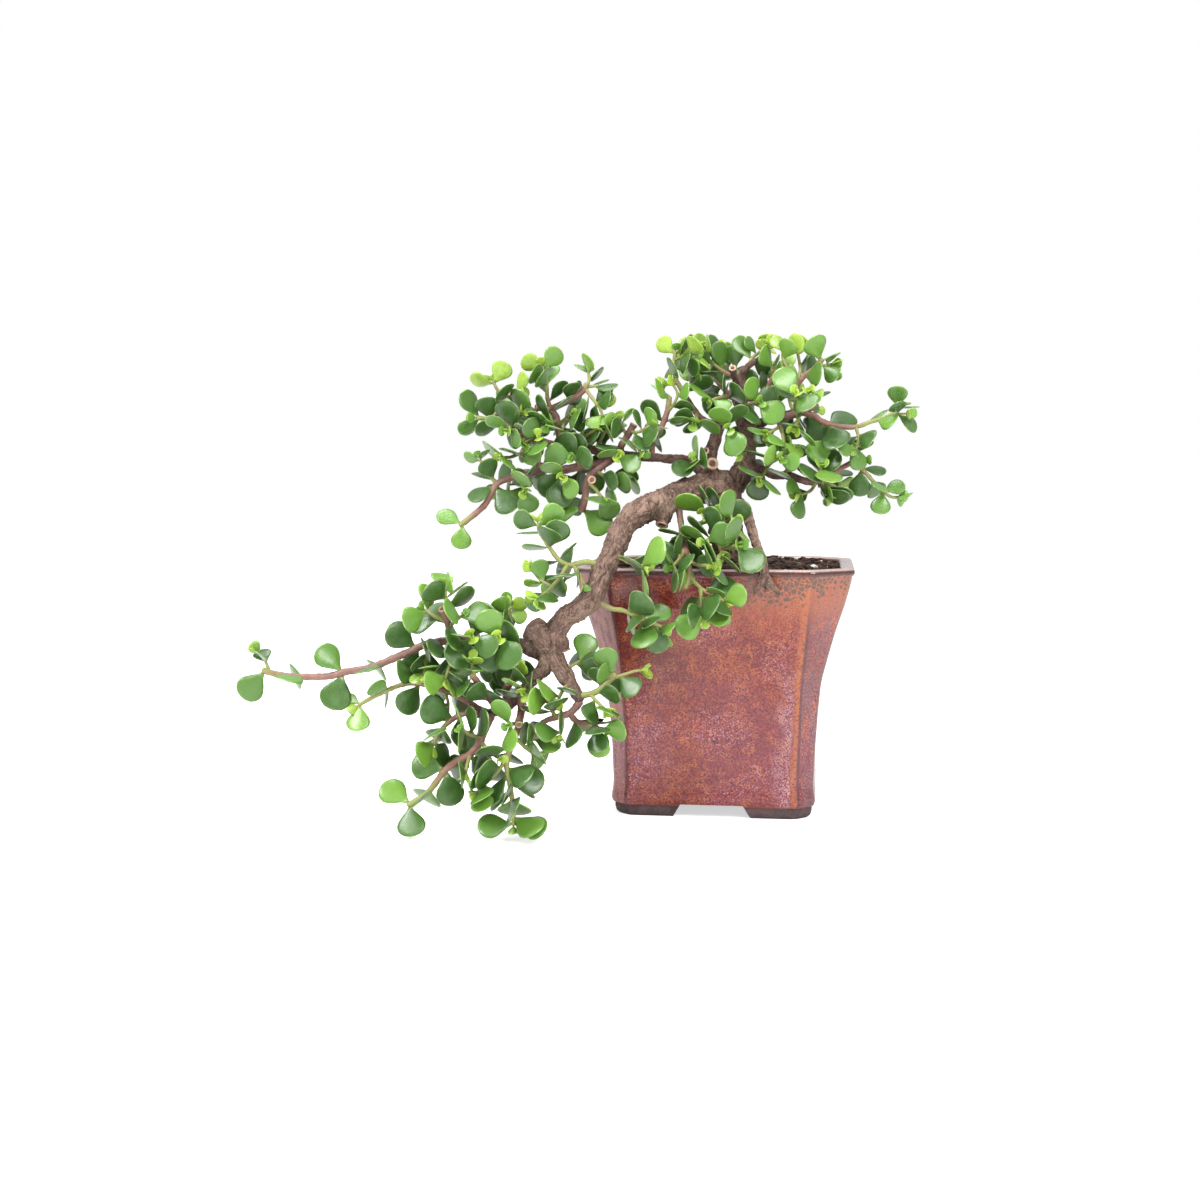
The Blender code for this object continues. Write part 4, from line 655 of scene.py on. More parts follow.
# Bark: furrows that run along each limb, deep on the old trunk and faint on young limbs.
finder = kdtree.KDTree(sum(len(line) for line in wood_lines))
along = []
for number, line in enumerate(wood_lines):
    reach = 0.0
    root = number >= len(wood_lines) - ROOT_LIMBS
    for i, (point, radius) in enumerate(line):
        reach += 0.0 if i == 0 else (point - line[i - 1][0]).length
        finder.insert(point, len(along))
        along.append((point, heading(line, i), radius, reach, root))
finder.balance()
grains, ages, cracks = [], [], []
for vertex in trunk.data.vertices:
    spot = (vertex.co - POT_AXIS) / MM
    point, ahead, radius, reach, root = along[finder.find(spot)[1]]
    out = spot - point
    reach += out.dot(ahead)
    out -= ahead * out.dot(ahead)
    turned = out.normalized() * min(radius, 9.0)
    grain = Vector((turned.x + turned.z * 0.4, turned.y - turned.z * 0.4, reach * 0.34))
    grain += noise.noise_vector(spot * 0.12) * 1.6
    furrow = noise.fractal(grain * 0.55, 0.8, 2.1, 4)
    crack = max(0.0, 0.10 - abs(noise.noise(grain * 0.46 + Vector((7, 3, 1))))) * 7.0
    crack *= clamp(0.6 + noise.noise(spot * 0.16) * 1.6, 0.1)
    plate = noise.noise(Vector((grain.x * 0.4, grain.y * 0.4, reach * 0.16)))
    share = min(radius / 8.0, 1.0)
    flakes = noise.noise(grain * 0.9 + spot * 0.25)
    lump = noise.noise(spot * 0.21 + Vector((3, 8, 2)))
    push = (furrow * 0.5 - crack * 0.8 + plate * 0.4 + flakes * 0.6 + lump * 1.1) * share
    wrinkle = noise.noise(Vector((turned.x * 0.3, turned.y * 0.3, reach * 0.85)))
    push += noise.noise(spot * 1.1) * 0.16 + wrinkle * 0.5 * share
    vertex.co += (out.normalized() * push) * MM
    grains.extend(grain * 0.1)
    ages.append(max(share, 0.8 * root))
    cracks.append(min(crack * 2.2, 1.0))
for name, kind, field, values in (("bark_grain", 'FLOAT_VECTOR', "vector", grains),
                                  ("bark_age", 'FLOAT', "value", ages),
                                  ("bark_crack", 'FLOAT', "value", cracks)):
    trunk.data.attributes.new(name, kind, 'POINT').data.foreach_set(field, values)
trunk.data.shade_smooth()

bark = Finish("cracked_bark", 0.85)
grain = bark.noted("bark_grain")["Vector"]
strips = bark.cloud(7.5, 8.0, 0.76, grain)
fibres = bark.cloud(24.0, 4.0, 0.7, grain)
bark.colour = bark.blend(bark.between(strips, 0.38, 0.60), (0.105, 0.052, 0.038),
                         (0.43, 0.275, 0.205))
bark.paint((0.10, 0.055, 0.040), bark.between(fibres, 0.50, 0.40), 0.5)
bark.paint((0.58, 0.45, 0.36), bark.between(fibres, 0.54, 0.64), 0.35)
bark.patches((0.50, 0.335, 0.25), 55.0, 0.50, 0.64, 0.7, 4.0)
bark.patches((0.14, 0.080, 0.066), 55.0, 0.47, 0.34, 0.7, 4.0)
young = bark.blend(bark.between(strips, 0.34, 0.66), (0.11, 0.055, 0.045), (0.29, 0.17, 0.135))
bark.colour = bark.blend(bark.between(bark.noted("bark_age")["Fac"], 0.33, 0.62), young,
                         bark.colour)
bark.paint((0.055, 0.028, 0.02), bark.noted("bark_crack")["Fac"], 0.85)
bark.paint((0.085, 0.046, 0.033), bark.between(bark.cloud(38.0, where=grain), 0.55, 0.35), 0.5)
bark.raised(bark.math('ADD', bark.times(strips, 0.9),
                      bark.times(bark.cloud(45.0, 4.0, 0.7, grain), 0.35)), 0.0022, 1.0)
trunk.data.materials.append(bark.done())
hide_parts("trunk")
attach(trunk, "root")

# The leafy branches: succulent stems, purple-brown where old and green where young.
# Round fleshy leaves stand on them in opposite pairs, each pair a quarter turn from the last.
LIGHT = (UP * 0.45 - AWAY).normalized()
LEAF_WIDTH = 0.93
LEAF_THICK = 0.13
LEAF_LOWEST = 1.2
CLEAR = 0.45
# Stems that hang free keep only their set leaves: each branch with the numbers of its stems.
SPARSE = {"branch_low_left": (0, 1), "branch_low_second": (0,), "branch_right_mid": (10, 11, 12),
          "branch_right_low": (0, 1), "branch_left_lower": (4, 5), "branch_low_bottom": (0,),
          "branch_low_tip": (1,), "shoot_left_a": (0,), "branch_tall_left": (0,),
          "branch_left_far": (1,)}
# Stems that stay green although they are thick, and how much younger they look.
GREEN_STEMS = {"branch_low_tip": 0.8, "branch_low_bottom": 0.3, "branch_tall_left": 0.25,
               "branch_low_front": 0.35, "branch_knee": 0.5, "branch_middle_d": 0.2}
# Each branch's name, then its stems. A stem is: the points that it runs through, (across, up,
# toward the eye) in mm; its radius at foot and tip; and, unless it is bare, its leaf pairs, how
# far along the first stands, the leaves' length at foot and tip, and the turn of the last pair.
STEMS = """
branch_left_upper
-95 214.5 32, -97 224 30, -98 231 29, -102 236.5 29, -110 237.5 31; 2.2 1.9
-101 236.5 29, -103.5 243 31, -104 252 33, -105.5 258 34, -106.5 262 34; 1.4 0.8; 3 6 16 14 0
-101 237 29, -93.5 240.5 34, -86 244.5 37, -81 249 38, -80 252 38; 1.9 1.7; 2 9 18 16 60
-80.5 249 38, -78.5 254 36, -79 259 35; 1.1 0.8; 2 3 15 14 80
-80 249 38, -76 242.5 42, -72 237 44, -70.5 232.5 45; 1.1 0.8; 2 5 15 12 10
-80 250 38, -74 250.5 36, -69 249.5 35; 1 0.7; 2 5 14 12 70
-98 229 29, -101 229 38, -103 227.5 46; 1.3 0.9; 2 5 19 15 35
-97.5 226 29.5, -94 230 37, -90 233 43; 1.2 0.9; 2 6 20 18 80
-97 222 30, -94 226 20, -91 230 12; 1.2 0.8; 2 5 18 15 30
branch_left_far
-95 214.5 32, -108 217.5 30, -120 222 29, -128 227 29, -133 234 29; 2.4 2.3
-132 233 29, -131.5 240 31, -131.5 245 33, -134 249 34, -136 253 34; 1.3 0.8; 2 5 18 13 10
-131.5 243 32, -126 245 35, -121 246 37; 0.9 0.7; 2 4 15 12 90
-121 222.5 29, -124.5 224.5 38, -127.5 224 46; 1.2 0.8; 2 5 18 15 40
-128 227 29, -135 229 33, -141 231 35, -146 231.5 36; 1.3 1.3; 2 5 18 16 80
-126 226 29, -122 231 34, -119 234 38; 1.2 0.9; 2 5 19 18 50
-105 216.8 30.5, -106 218 40, -108 220 47; 1.2 0.9; 2 5 19 16 80
-112 219 30, -115 217.5 38, -117 216 45; 1.2 0.9; 2 5 19 15 20
-112 219 30, -113 222 21, -112 227 13; 1.2 0.8; 2 5 18 15 0
branch_left_lower
-62 209 36, -72 204.5 38, -84 202.5 38, -95 200.5 36, -106 202 34, -113 206 33, -118 211 32; 2.7
  2.3
-117 210 32, -122 209.5 35, -126 208 38, -130 208 41; 1.2 0.8; 2 5 18 15 30
-94 200.5 36, -95 198 45, -95 196.5 53; 1.3 0.9; 2 5 19 15 45
-84 202.5 38, -86 206 46, -88 207 50; 1.2 0.9; 2 4 19 16 0
-106 202 34, -112 198.5 36, -120 197 38, -128 195 40, -134 192 42, -138 185.5 43, -141 180 44,
  -145.5 175.5 45, -151 171 46, -156.5 167 46; 2.1 1.6; 2 33 18 14 75
-134 192 42, -138.5 197 41, -142 202 40, -144.5 207 39; 1.2 0.8; 2 4 16 11 20
-121 197 38, -119.5 193.5 46, -118 189 53; 1.2 0.9; 2 4 19 15 60
-126 196 39, -127 192 34, -128 187 30; 1.1 0.9; 2 4 18 14 0
-106 202 34, -108 200 25, -110 196 16; 1.2 0.8; 2 5 18 15 0
-86 202.5 38, -85 200 28, -84 195 20; 1.2 0.8; 2 5 18 15 0
branch_red_lower
-60 209.5 36, -67 205 43, -74 200 46, -79 195.5 47, -80.5 187 47, -81.5 181 47, -83 175.5 47; 1.9
  2; 2 22 19 19 0
-78 196 47, -77 194.5 55; 2 2.1
-74 200 46, -70 197 48, -65 193.5 49; 1.1 0.9; 2 5 16 16 80
-79.5 193 47, -75 189 50, -71 184 52; 1.1 0.9; 2 5 19 18 20
branch_red_upper
-58 209.5 36, -59.5 214 43, -56 220 45, -52 227 46; 1.9 2
-56 220.5 45, -58 225 46, -59.5 229 47; 1 0.7; 2 4 14 11 10
-54 223.5 45.5, -49.5 223 49, -45 225 51, -42 227 52; 1.1 0.7; 2 4 16 11 60
-57 218 44, -52 216 49, -48 212 52; 1.1 0.8; 2 5 18 16 80
shoot_left_a
-41 208 37, -40 217 40, -36 224 41, -33 231 41, -31 238 41, -30.5 244 41; 1.7 1.6; 3 9 15 18 85
-32 235 41, -27.5 240 43, -25.5 246 43, -28 251 42; 0.9 0.7; 2 5 14 8 0
shoot_left_b
-50 208.7 36.5, -53 204 44, -55 198.5 49; 1.3 0.9; 2 5 19 15 20
shoot_left_c
-64 210 36, -62.5 209.5 47, -61.5 209 55; 1.3 0.9; 2 5 19 16 10
shoot_left_d
-82 213.3 34, -83 218 39, -79.5 221.5 43, -75 224.5 46; 1.4 0.9; 2 5 18 15 80
shoot_left_e
-72 211.5 35, -73 215 40, -71 220 43, -68 225 44; 1.3 0.9; 2 5 18 15 15
shoot_left_g
-70 211.3 35, -70 215 26, -71 221 17; 1.2 0.8; 2 5 18 15 20
branch_tall_left
0 228 36, -7 229 33, -12 232 32, -18 240 31, -24 250 31, -29 259 32, -27.5 265 33, -27 271 33; 2.1
  1.1; 2 41 16 13 0
-21 245 31, -18 250 32, -15 253 33; 1.1 0.9; 1 4 19 19 20
-25.5 252 31, -29 252.5 33, -31.5 252 34; 0.9 0.7; 2 3 9 8 80
-27.5 266 33, -22 268.5 36, -17 269.5 38; 1 0.8; 2 4 16 14 40
-14 234 32, -14 231 41, -15 229 48; 1.1 0.9; 2 5 18 16 10
shoot_crown_a
10 255 22, 3 258.5 22, -3 263 22, -7.5 267 22, -9 271 22; 1.6 0.9; 2 12 18 15 15
shoot_crown_b
17 262.5 26.5, 19 267 20, 22.5 270 17, 26 273 16; 1.2 0.8; 2 6 15 11 40
shoot_crown_c
12 253 22, 9.5 260 15, 7 267 10, 6.5 271 8; 1.3 0.8; 2 8 16 12 20
shoot_crown_d
11 243 22, 5 246 15, -3 254.5 10, -9 261 8, -15.5 268 7; 1.5 1.3; 2 12 15 14 60
shoot_crown_e
10 243 22, 4 244 31, -1 243.5 37, -5 242 41; 1.2 0.9; 2 7 16 15 70
shoot_crown_f
14.5 238 22, 19 240 31, 23 241 39; 1.4 0.9; 2 8 20 16 50
shoot_crown_g
13.5 236 22, 15 240 13, 14 247 4; 1.3 0.8; 2 8 18 12 20
branch_right_up
13 243 22, 20 243.5 23, 27 247 25, 31 254 27, 33.5 259.5 28, 39.5 261.5 29; 2.1 1.5; 2 14 15 15 30
32 257 28, 30.5 263 26, 29 268 25, 28.5 273 25; 1 0.7; 2 5 14 9 30
30 251 26, 33 254 18, 35 260 11; 1.1 0.8; 2 5 16 12 20
branch_right_mid
37 232 28, 45 233.5 30, 52 236 32, 57.5 240 34; 2.4 1.7
47 234.3 30.7, 45.5 243 33, 43 252 35, 40 261 35, 37.5 267.5 34, 38 272 34; 1.6 1; 2 12 18 13 20
44 248 34, 50 256 36, 56.5 261 37, 61 266.5 37; 1.5 1.6; 2 11 16 15 60
58 262.5 37, 63 263 38, 66.5 263.5 38; 0.9 0.7; 2 4 13 8 20
46 252 35, 48 260 33, 47 267 31, 46 271 31; 1 0.8; 2 5 15 12 70
50 235.5 31.5, 52.5 241 39, 53 246 45; 1.2 0.9; 2 6 18 16 75
48 234.6 31, 46.5 229 38, 45 225.5 45; 1.2 0.9; 2 5 18 15 30
47.5 234.5 30.8, 45 238 39, 45.5 245 49; 1.1 0.9; 2 10 18 18 60
52 236 32, 55 234 24, 58 235 16; 1.1 0.8; 2 5 18 15 30
46.5 234.1 30.5, 43 238 21, 41 245 12; 1.2 0.8; 2 5 18 12 30
49 235 31, 56 233 35, 61 229.5 37, 67 227.5 38, 75 226 38, 83 226.5 38, 90 229 38, 97 231 38, 103
  234 38, 107.5 238.5 38; 1.9 0.9; 4 19 19 13 60
82 226.5 38, 83.5 219 41, 81.5 213 42; 1 0.8; 2 6 15 13 30
103 234 38, 108 234 41, 111 234 43; 0.8 0.6; 1 4 14 11 60
branch_right_low
49 194.5 32, 56 193 33, 62 195 34, 70 199.5 34, 76 203 34, 80.5 205 34, 86.5 206 35; 2.2 1.4
80 205 34, 84 202 35, 88 198.5 36, 93 193 37, 99 187 38, 104 184 38, 107.5 184 38; 1.4 0.8; 4 7 15
  11 10
79.5 205 34, 79.5 209 37, 81 213 39; 1.1 0.8; 2 4 16 12 75
58 193.3 33.3, 60 198 40, 61 202 45; 1.3 0.9; 2 5 20 18 80
61 194.5 34, 63.5 190 38, 65 186 41; 1.3 0.9; 2 5 19 18 85
62 195 34, 66 192 33, 70.5 189.5 32; 1.4 1.2; 1 5 15 15 40
58.5 193.4 33.4, 55 188 37, 49 185.5 39; 1.1 0.8; 2 4 15 14 80
70 199.5 34, 70 197 26, 71 192 19; 1.1 0.8; 2 5 16 12 20
60 194 33.7, 60 199 25, 60 205 18; 1.1 0.8; 2 5 16 12 60
shoot_right_a
34 231.4 27.6, 36 227 34, 38 221 41, 38.5 216 44; 1.5 0.9; 2 8 15 13 10
36.3 226.3 35, 33 224.5 40, 29.5 222.5 45; 1 0.8; 2 5 16 14 40
shoot_right_b
27 200 30, 30 204 38, 33 206 45, 35.5 207 50; 1.4 0.9; 2 6 18 13 20
29 203 36, 27 199 42, 25 196 46; 1.1 0.8; 2 5 19 16 50
shoot_right_c
38 197.2 31, 41 201 36, 42.5 206 39, 44 211 40; 1.3 0.9; 3 5 16 12 60
shoot_front_a
1 229 36, 4 227 47, 5 225.5 56; 1.2 0.9; 2 7 18 16 65
shoot_front_b
-6 203 40, -11 203 46, -14 205.5 50; 1.3 0.9; 2 8 18 16 75
shoot_front_c
17.5 212 27, 15 211.5 38, 12 210 46; 1.4 0.9; 2 9 20 15 65
shoot_back_a
16 204 29, 17 208 16, 19 214 6; 1.3 0.8; 2 10 19 13 20
branch_middle_a
-24 181 51, -23 167 63, -21 155 79, -18.5 145 91, -18.5 136 97, -20.5 129 99; 1.9 1.6
-18.5 137 96.5, -13 131 99, -8 127 100, -2 124.5 101, 3 121 101; 1.1 0.8; 3 4 16 16 60
-11 129.5 99, -10.5 121 102, -9 111 102; 1.1 0.8; 2 6 18 16 20
-21 153 81, -24 147 91, -27.5 143 97; 1.1 0.8; 2 5 18 15 70
-18.5 145 91, -12 143 97, -6 143 100; 1 0.8; 2 5 19 16 60
branch_middle_b
0 186 37, -2 180 50, -2 172 60, -1 164 68, 0 156 78, 2 150 88; 1.6 1.2
-2 177 54, -5 176 62, -8 174.5 69; 1.1 0.9; 2 5 18 19 40
-1.5 168 64, 4 169 72, 8 170 79; 1.1 0.9; 2 5 18 19 70
-0.5 160 73, -5 159 81, -8 157.5 88; 1.1 0.9; 2 5 18 18 10
1 153 83, 7 154 90, 11 155 97; 1.1 0.9; 2 5 18 18 55
1.5 151.5 86, 0 147 94, -2 143 101; 1.1 0.9; 2 5 18 17 80
branch_middle_c
-63 150 87, -56 145.5 95, -46 142 100; 1.3 0.9; 2 10 19 18 85
branch_middle_d
-75 122 96, -66 117 97.5, -58 115.5 99, -50 112 100, -41 108 101, -34 105.5 101; 1.6 0.9; 3 22 18
  15 45
branch_knee
-71 143 92, -80 145 95, -90 143 97, -96 145.5 97, -100 150 96, -104 156 95, -108.5 163 94, -109.5
  168 94; 1.8 0.9; 3 23 18 15 15
-92 143.5 97, -96 136 102, -103 128 106, -109 123 111; 1.2 0.8; 2 7 19 9 45
-88 143.5 97, -85 138 99, -82 132 99; 1.1 0.9; 2 4 18 15 70
-101 130.5 104.5, -108 134 103, -113 140 102; 0.9 0.7; 2 6 11 8 10
-90 143 97, -91 139 89, -94 133 83; 1.1 0.8; 2 4 18 15 30
branch_low_left
-165 97 88, -172 96 89, -180 94 89.5, -186 91 90, -192 88.5 91, -198 86 92, -205 83 92, -212 80.5
  92, -220 79 92, -227 78 93, -236 75.5 93, -245 75 93, -255 75 93, -262 75.5 93, -270 77 93, -277
  79 93; 2.3 1.7; 5 18 18 18 80
-272.5 77.8 93, -275.5 85 93, -279.5 90 93; 1 0.7; 2 6 12 9 0
-175 95.5 89, -177 88 95, -178 81 99, -179 76.5 101; 1.2 0.8; 2 5 19 9 0
shoot_low_a
-162 97 87.6, -164 107 96, -167.5 116 103; 2 2.1
-166 112.5 100.5, -165.5 121 100, -165.5 129 100; 1.2 0.7; 2 4 18 15 70
-164.5 109 98, -172 112 101, -178 116 102; 1.2 0.8; 2 5 18 16 60
-163.5 105 94.5, -160 109 101, -156 112 104; 1.2 0.9; 2 5 19 16 20
shoot_low_b
-149 97 86, -150 99 97, -150 99.5 106; 1.5 0.9; 2 7 21 16 25
shoot_low_c
-132 96 84, -133 97.5 95, -133.5 98.5 104; 1.5 0.9; 2 7 21 18 65
shoot_low_d
-121 94.5 84, -124 103 84, -127.5 111 85, -126 117.5 85; 1.3 0.8; 2 8 15 9 10
shoot_low_e
-158 97 87, -161 88 96, -164 80 102, -166 74 104; 1.4 0.9; 2 7 19 14 50
shoot_low_f
-140 96.4 84.8, -142 90 76, -146 84 68; 1.3 0.8; 2 6 19 13 20
shoot_low_h
-134 54.2 93, -139 61 98, -144 69 102, -150 76 105; 1.7 1.8; 2 9 19 16 60
-147 73 103.7, -149 79 107, -150 83.5 109; 0.9 0.7; 2 4 14 8 20
shoot_low_i
-127 57.6 93, -129.5 64 99, -127.5 71 104; 1.9 2; 1 9 19 19 60
-128 68 102, -126 74 105, -124 79.5 106; 0.9 0.7; 2 4 16 9 30
branch_low_second
-140 52.4 93, -147 56 89, -154 61 88, -162 65 89, -171 68 90, -180 70.5 90, -188 71 91, -196 69
  92, -205 65 92, -212 61.5 92, -219 57.5 92; 2 1.1; 4 26 18 14 70
-179 70.2 90, -184 74 92, -189.5 77.5 93; 1.2 1.1; 1 6 18 18 30
-166 66.4 89.4, -164.5 59.5 92, -164.5 53 93; 0.9 0.8
-158 63 88.5, -159 66 80, -162 70 72; 1.2 0.8; 2 6 16 12 30
shoot_low_j
-146 51.5 93, -154 52.5 95, -161 49.5 97, -167 44.5 98, -171 39 99, -173.5 33 99; 1.9 1; 3 12 19
  18 60
branch_low_bottom
-137 53.4 93, -142 43 98, -146 33.5 101, -152 27 103, -160 23 104, -167 17 105, -173 9 105, -178 3
  105, -184 -1 105, -189.5 -4 105; 2.3 1.6; 4 30 20 18 75
-145 35 100.5, -139 29 106, -134.5 25.5 111; 1.3 0.9; 2 6 18 18 30
-151.5 27.4 102.8, -153 21 109, -154 16 112; 1.2 0.9; 2 5 19 18 80
-144 38 99.4, -150 39 106, -155 42 110; 1.2 0.9; 2 5 19 16 50
-147 32 101.3, -149 28 94, -153 24 88; 1.2 0.8; 2 5 18 15 30
branch_low_front
-121 63 93, -120 54 99, -122 44 104, -126 33 108, -129 22 111, -127.5 12 114, -126 2 116, -125 -8
  117, -125 -16.5 118; 2.2 1.1; 4 34 20 19 10
-128 25 110, -136 15 112, -142 9.5 113, -146.5 5 113; 1.2 0.8; 2 7 19 15 60
-121.5 46 103, -126 46 111, -127.5 45.5 115; 1.2 0.9; 2 5 19 16 70
-120 53 99.3, -121.5 48 110, -121.5 46 113; 1.9 2
-124 38 106, -118 32 107, -113 28 108; 1.2 0.8; 2 6 18 15 20
branch_low_right
-84 60 101, -90 53 103, -98 50.5 104, -106 47.5 105, -111 42 106, -113 36 106; 2.2 1.1; 2 14 19 18
  20
-99 50.3 104, -102 56 108, -105 61 110; 1.2 0.9; 2 5 18 16 60
-91 52.6 103.1, -86 47.5 106, -79 46 107; 1.7 1.7; 2 6 18 18 85
-95 51.4 103.6, -95 45 108, -96 40 111; 1.2 0.9; 2 5 18 16 30
-82 46.6 106.6, -75 45 108, -70 42 108; 1 0.8; 2 6 16 16 85
branch_low_tip
-85.5 63 100.7, -75 65.5 103, -68 71 103, -62.5 76.5 103; 1.8 1.7; 2 12 16 16 75
-65 74 103, -57 76.5 104, -51 78.5 104, -47 79 104; 1 0.7; 2 5 15 9 30
-78 64.8 102.6, -74 60 106, -70 56 108; 1.1 0.9; 2 5 16 15 30
shoot_low_k
-91 72 99.4, -95 66 107, -97 62 111; 1.3 0.9; 2 7 18 18 70
shoot_low_l
-94 77 98.7, -89 82 95, -83 85 92; 1.2 0.9; 2 8 16 16 80
shoot_low_m
-114 72 94.4, -116.5 69 103, -118 66 110; 1.3 0.9; 2 7 19 16 50
shoot_low_n
-119 66 93.4, -123 69 85, -127 74 77; 1.3 0.8; 2 6 18 13 30
"""
BRANCHES = {}
for row in STEMS.strip().replace("\n  ", " ").split("\n"):
    if ";" not in row:
        stems = BRANCHES[row] = []
        continue
    knots, radii, *leafy = row.split(";")
    pairs, first, size_foot, size_tip, turn = map(int, leafy[0].split() if leafy else (0,) * 5)
    stems.append(([tuple(map(float, knot.split())) for knot in knots.split(",")],
                  tuple(map(float, radii.split())), pairs, first, (size_foot, size_tip), turn))


def lay_branches(wood):
    """Every stem's line at 1 mm steps, named by branch."""
    laid = {}
    for name, stems in BRANCHES.items():
        lines = []
        for knots, (root, tip), *leafy in stems:
            parents = [spot for line in (lines or wood) for spot in line]
            foot = place(*knots[0])
            start = min(parents, key=lambda spot: (spot[0] - foot).length_squared)[0]
            spots = [start] + [place(*knot) for knot in knots[1:]]
            reach = [0.0]
            for i in range(1, len(spots)):
                reach.append(reach[-1] + (spots[i] - spots[i - 1]).length)
            radii = [root + (tip - root) * r / reach[-1] for r in reach]
            lines.append(smooth_line(list(zip(spots, radii)), 1.0))
        laid[name] = lines
    return laid


def part_point(name, laid, wood):
    """How many steps of a branch's first stem belong to the wood before it stands clear."""
    line = laid[name][0]
    others = [spot for other in wood for spot in other]
    for other, lines in laid.items():
        if other != name:
            others += lines[0][:24]
    clear = 0
    for i, (point, radius) in enumerate(line[:24]):
        if any((point - spot).length < radius + thick + 0.9 for spot, thick in others):
            clear = i + 1
    return max(clear, 3)


def span(line):
    return (len(line) - 1) * (line[1][0] - line[0][0]).length


def frame_at(line, reach):
    """The point, direction and radius at a distance along a line of 1 mm steps."""
    at = clamp(reach / span(line)) * (len(line) - 1)
    i = min(int(at), len(line) - 2)
    point = line[i][0].lerp(line[i + 1][0], at - i)
    ahead = line[min(i + 2, len(line) - 1)][0] - line[max(i - 1, 0)][0]
    return point, ahead.normalized(), line[i][1]


def leaf_points(length, sunk, cup, curl, free):
    """A blade lying along x, facing z: its outline, then the points of its two faces."""
    half = length * LEAF_WIDTH / 2
    thick = max(length * LEAF_THICK, 1.3)
    outline = [(0.29 * length, -0.66 * half), (0.64 * length, -half),
               (0.96 * length, -0.5 * half), (0.96 * length, 0.5 * half),
               (0.64 * length, half), (0.29 * length, 0.66 * half)]
    if free:
        outline = [(0.05 * length, -0.28 * half)] + outline + [(0.05 * length, 0.28 * half)]
    else:
        outline.append((-sunk, 0.0))
    points = []
    for x, y in outline:
        z = curl * max(x, 0.0) ** 2 / length + cup * abs(y / half) ** 2 * length
        points.append(Vector((x, y, z)))
    middle = curl * 0.2 * length
    return points + [Vector((0.45 * length, 0.0, middle + thick / 2)),
                     Vector((0.45 * length, 0.0, middle - thick / 2))]


LEAF_FACES = [(i, (i + 1) % 7, 7) for i in range(7)] + [((i + 1) % 7, i, 8) for i in range(7)]


def put(frame, points):
    base, axis, side, face = frame
    return [base + axis * p.x + side * p.y + face * p.z for p in points]


def in_pot(point):
    if point.z > SOIL_HEAP + 1.5:
        return False
    height = clamp(point.z, 0.0, POT_HEIGHT)
    half = half_at(height) + 1.2
    x, y = abs(point.x), abs(point.y)
    return x < half and y < half and x + y < 2 * half - cut_at(height) + 0.8


def hits_stem(frame, length, own):
    """Whether the blade passes through any stem but its own."""
    base, axis, side, face = frame
    half = length * LEAF_WIDTH / 2
    middle = base + axis * (length / 2)
    for point, radius, owner in stem_balls:
        if owner == own or (point - middle).length_squared > (length * 0.75 + radius) ** 2:
            continue
        away = point - base
        x, y, z = away.dot(axis), away.dot(side), away.dot(face)
        room = radius + CLEAR
        if -room < x < length + room and abs(y) < half + room and abs(z) < 1.3 + room:
            return True
    return False


def swollen(shape, face):
    """A blade grown by the clearance on both faces, as a tree to test others against."""
    top = [p + face * CLEAR for p in shape[:8]]
    low = [p - face * CLEAR for p in shape[:8]]
    faces = []
    for i in range(8):
        j = (i + 1) % 8
        faces += [(i, j, 16), (8 + j, 8 + i, 17), (i, 8 + i, 8 + j), (i, 8 + j, j)]
    middles = [shape[8] + face * CLEAR, shape[9] - face * CLEAR]
    return BVHTree.FromPolygons(top + low + middles, faces)


def try_leaf(owner, stem, sizes, share, around, rng, loose):
    """One leaf at a place and turn on its stem, or nothing where it has no room."""
    stand, ahead, radius = stem
    level = ahead.cross(UP) if abs(ahead.z) < 0.85 else ACROSS.copy()
    level = (level - ahead * level.dot(ahead)).normalized()
    length = sizes[0] * (1 - share) + sizes[1] * share
    old = clamp((length - 7) / 8)
    around = math.radians(around + rng.uniform(-12, 12) * loose)
    out = level * math.cos(around) + level.cross(ahead) * math.sin(around)
    lean = clamp(math.radians(34 + 26 * old + rng.uniform(-9, 9) * loose), 0.4, 1.6)
    axis = ahead * math.cos(lean) + out * math.sin(lean)
    face = ahead * math.sin(lean) - out * math.cos(lean)
    side = face.cross(axis)
    turned = clamp(math.atan2(-LIGHT.dot(side), LIGHT.dot(face)), -1.35, 1.35) * 0.88
    roll = -turned + math.radians(rng.uniform(-16, 16) * loose)
    side, face = (side * math.cos(roll) + face * math.sin(roll),
                  face * math.cos(roll) - side * math.sin(roll))
    length *= rng.uniform(0.90, 1.08) * (1 - 0.04 * (loose - 1))
    cup = rng.uniform(0.0, 0.07)
    curl = rng.uniform(-0.16, 0.05)
    base = stand + out * (radius * 0.85)
    frame = (base, axis, side, face)
    sunk = 0.8 * radius / math.sin(lean)
    if hits_stem(frame, length, owner):
        return None
    wide = put(frame, leaf_points(length + CLEAR, sunk, cup, curl, True))
    if min(p.z for p in wide) < LEAF_LOWEST or any(in_pot(p) for p in wide):
        return None
    middle = base + axis * (length / 2)
    near = [other for centre, reach, other in standing
            if (centre - middle).length <= reach + length * 0.62]
    if near:
        tree = swollen(wide, face)
        if any(tree.overlap(other) for other in near):
            return None
    shape = put(frame, leaf_points(length, sunk, cup, curl, False))
    standing.append((middle, length * 0.62, BVHTree.FromPolygons(shape, LEAF_FACES)))
    young = clamp((stand.z - 232) / 40) * 0.35
    return frame, length, sunk, cup, curl, old * (1 - 0.5 * share) - young


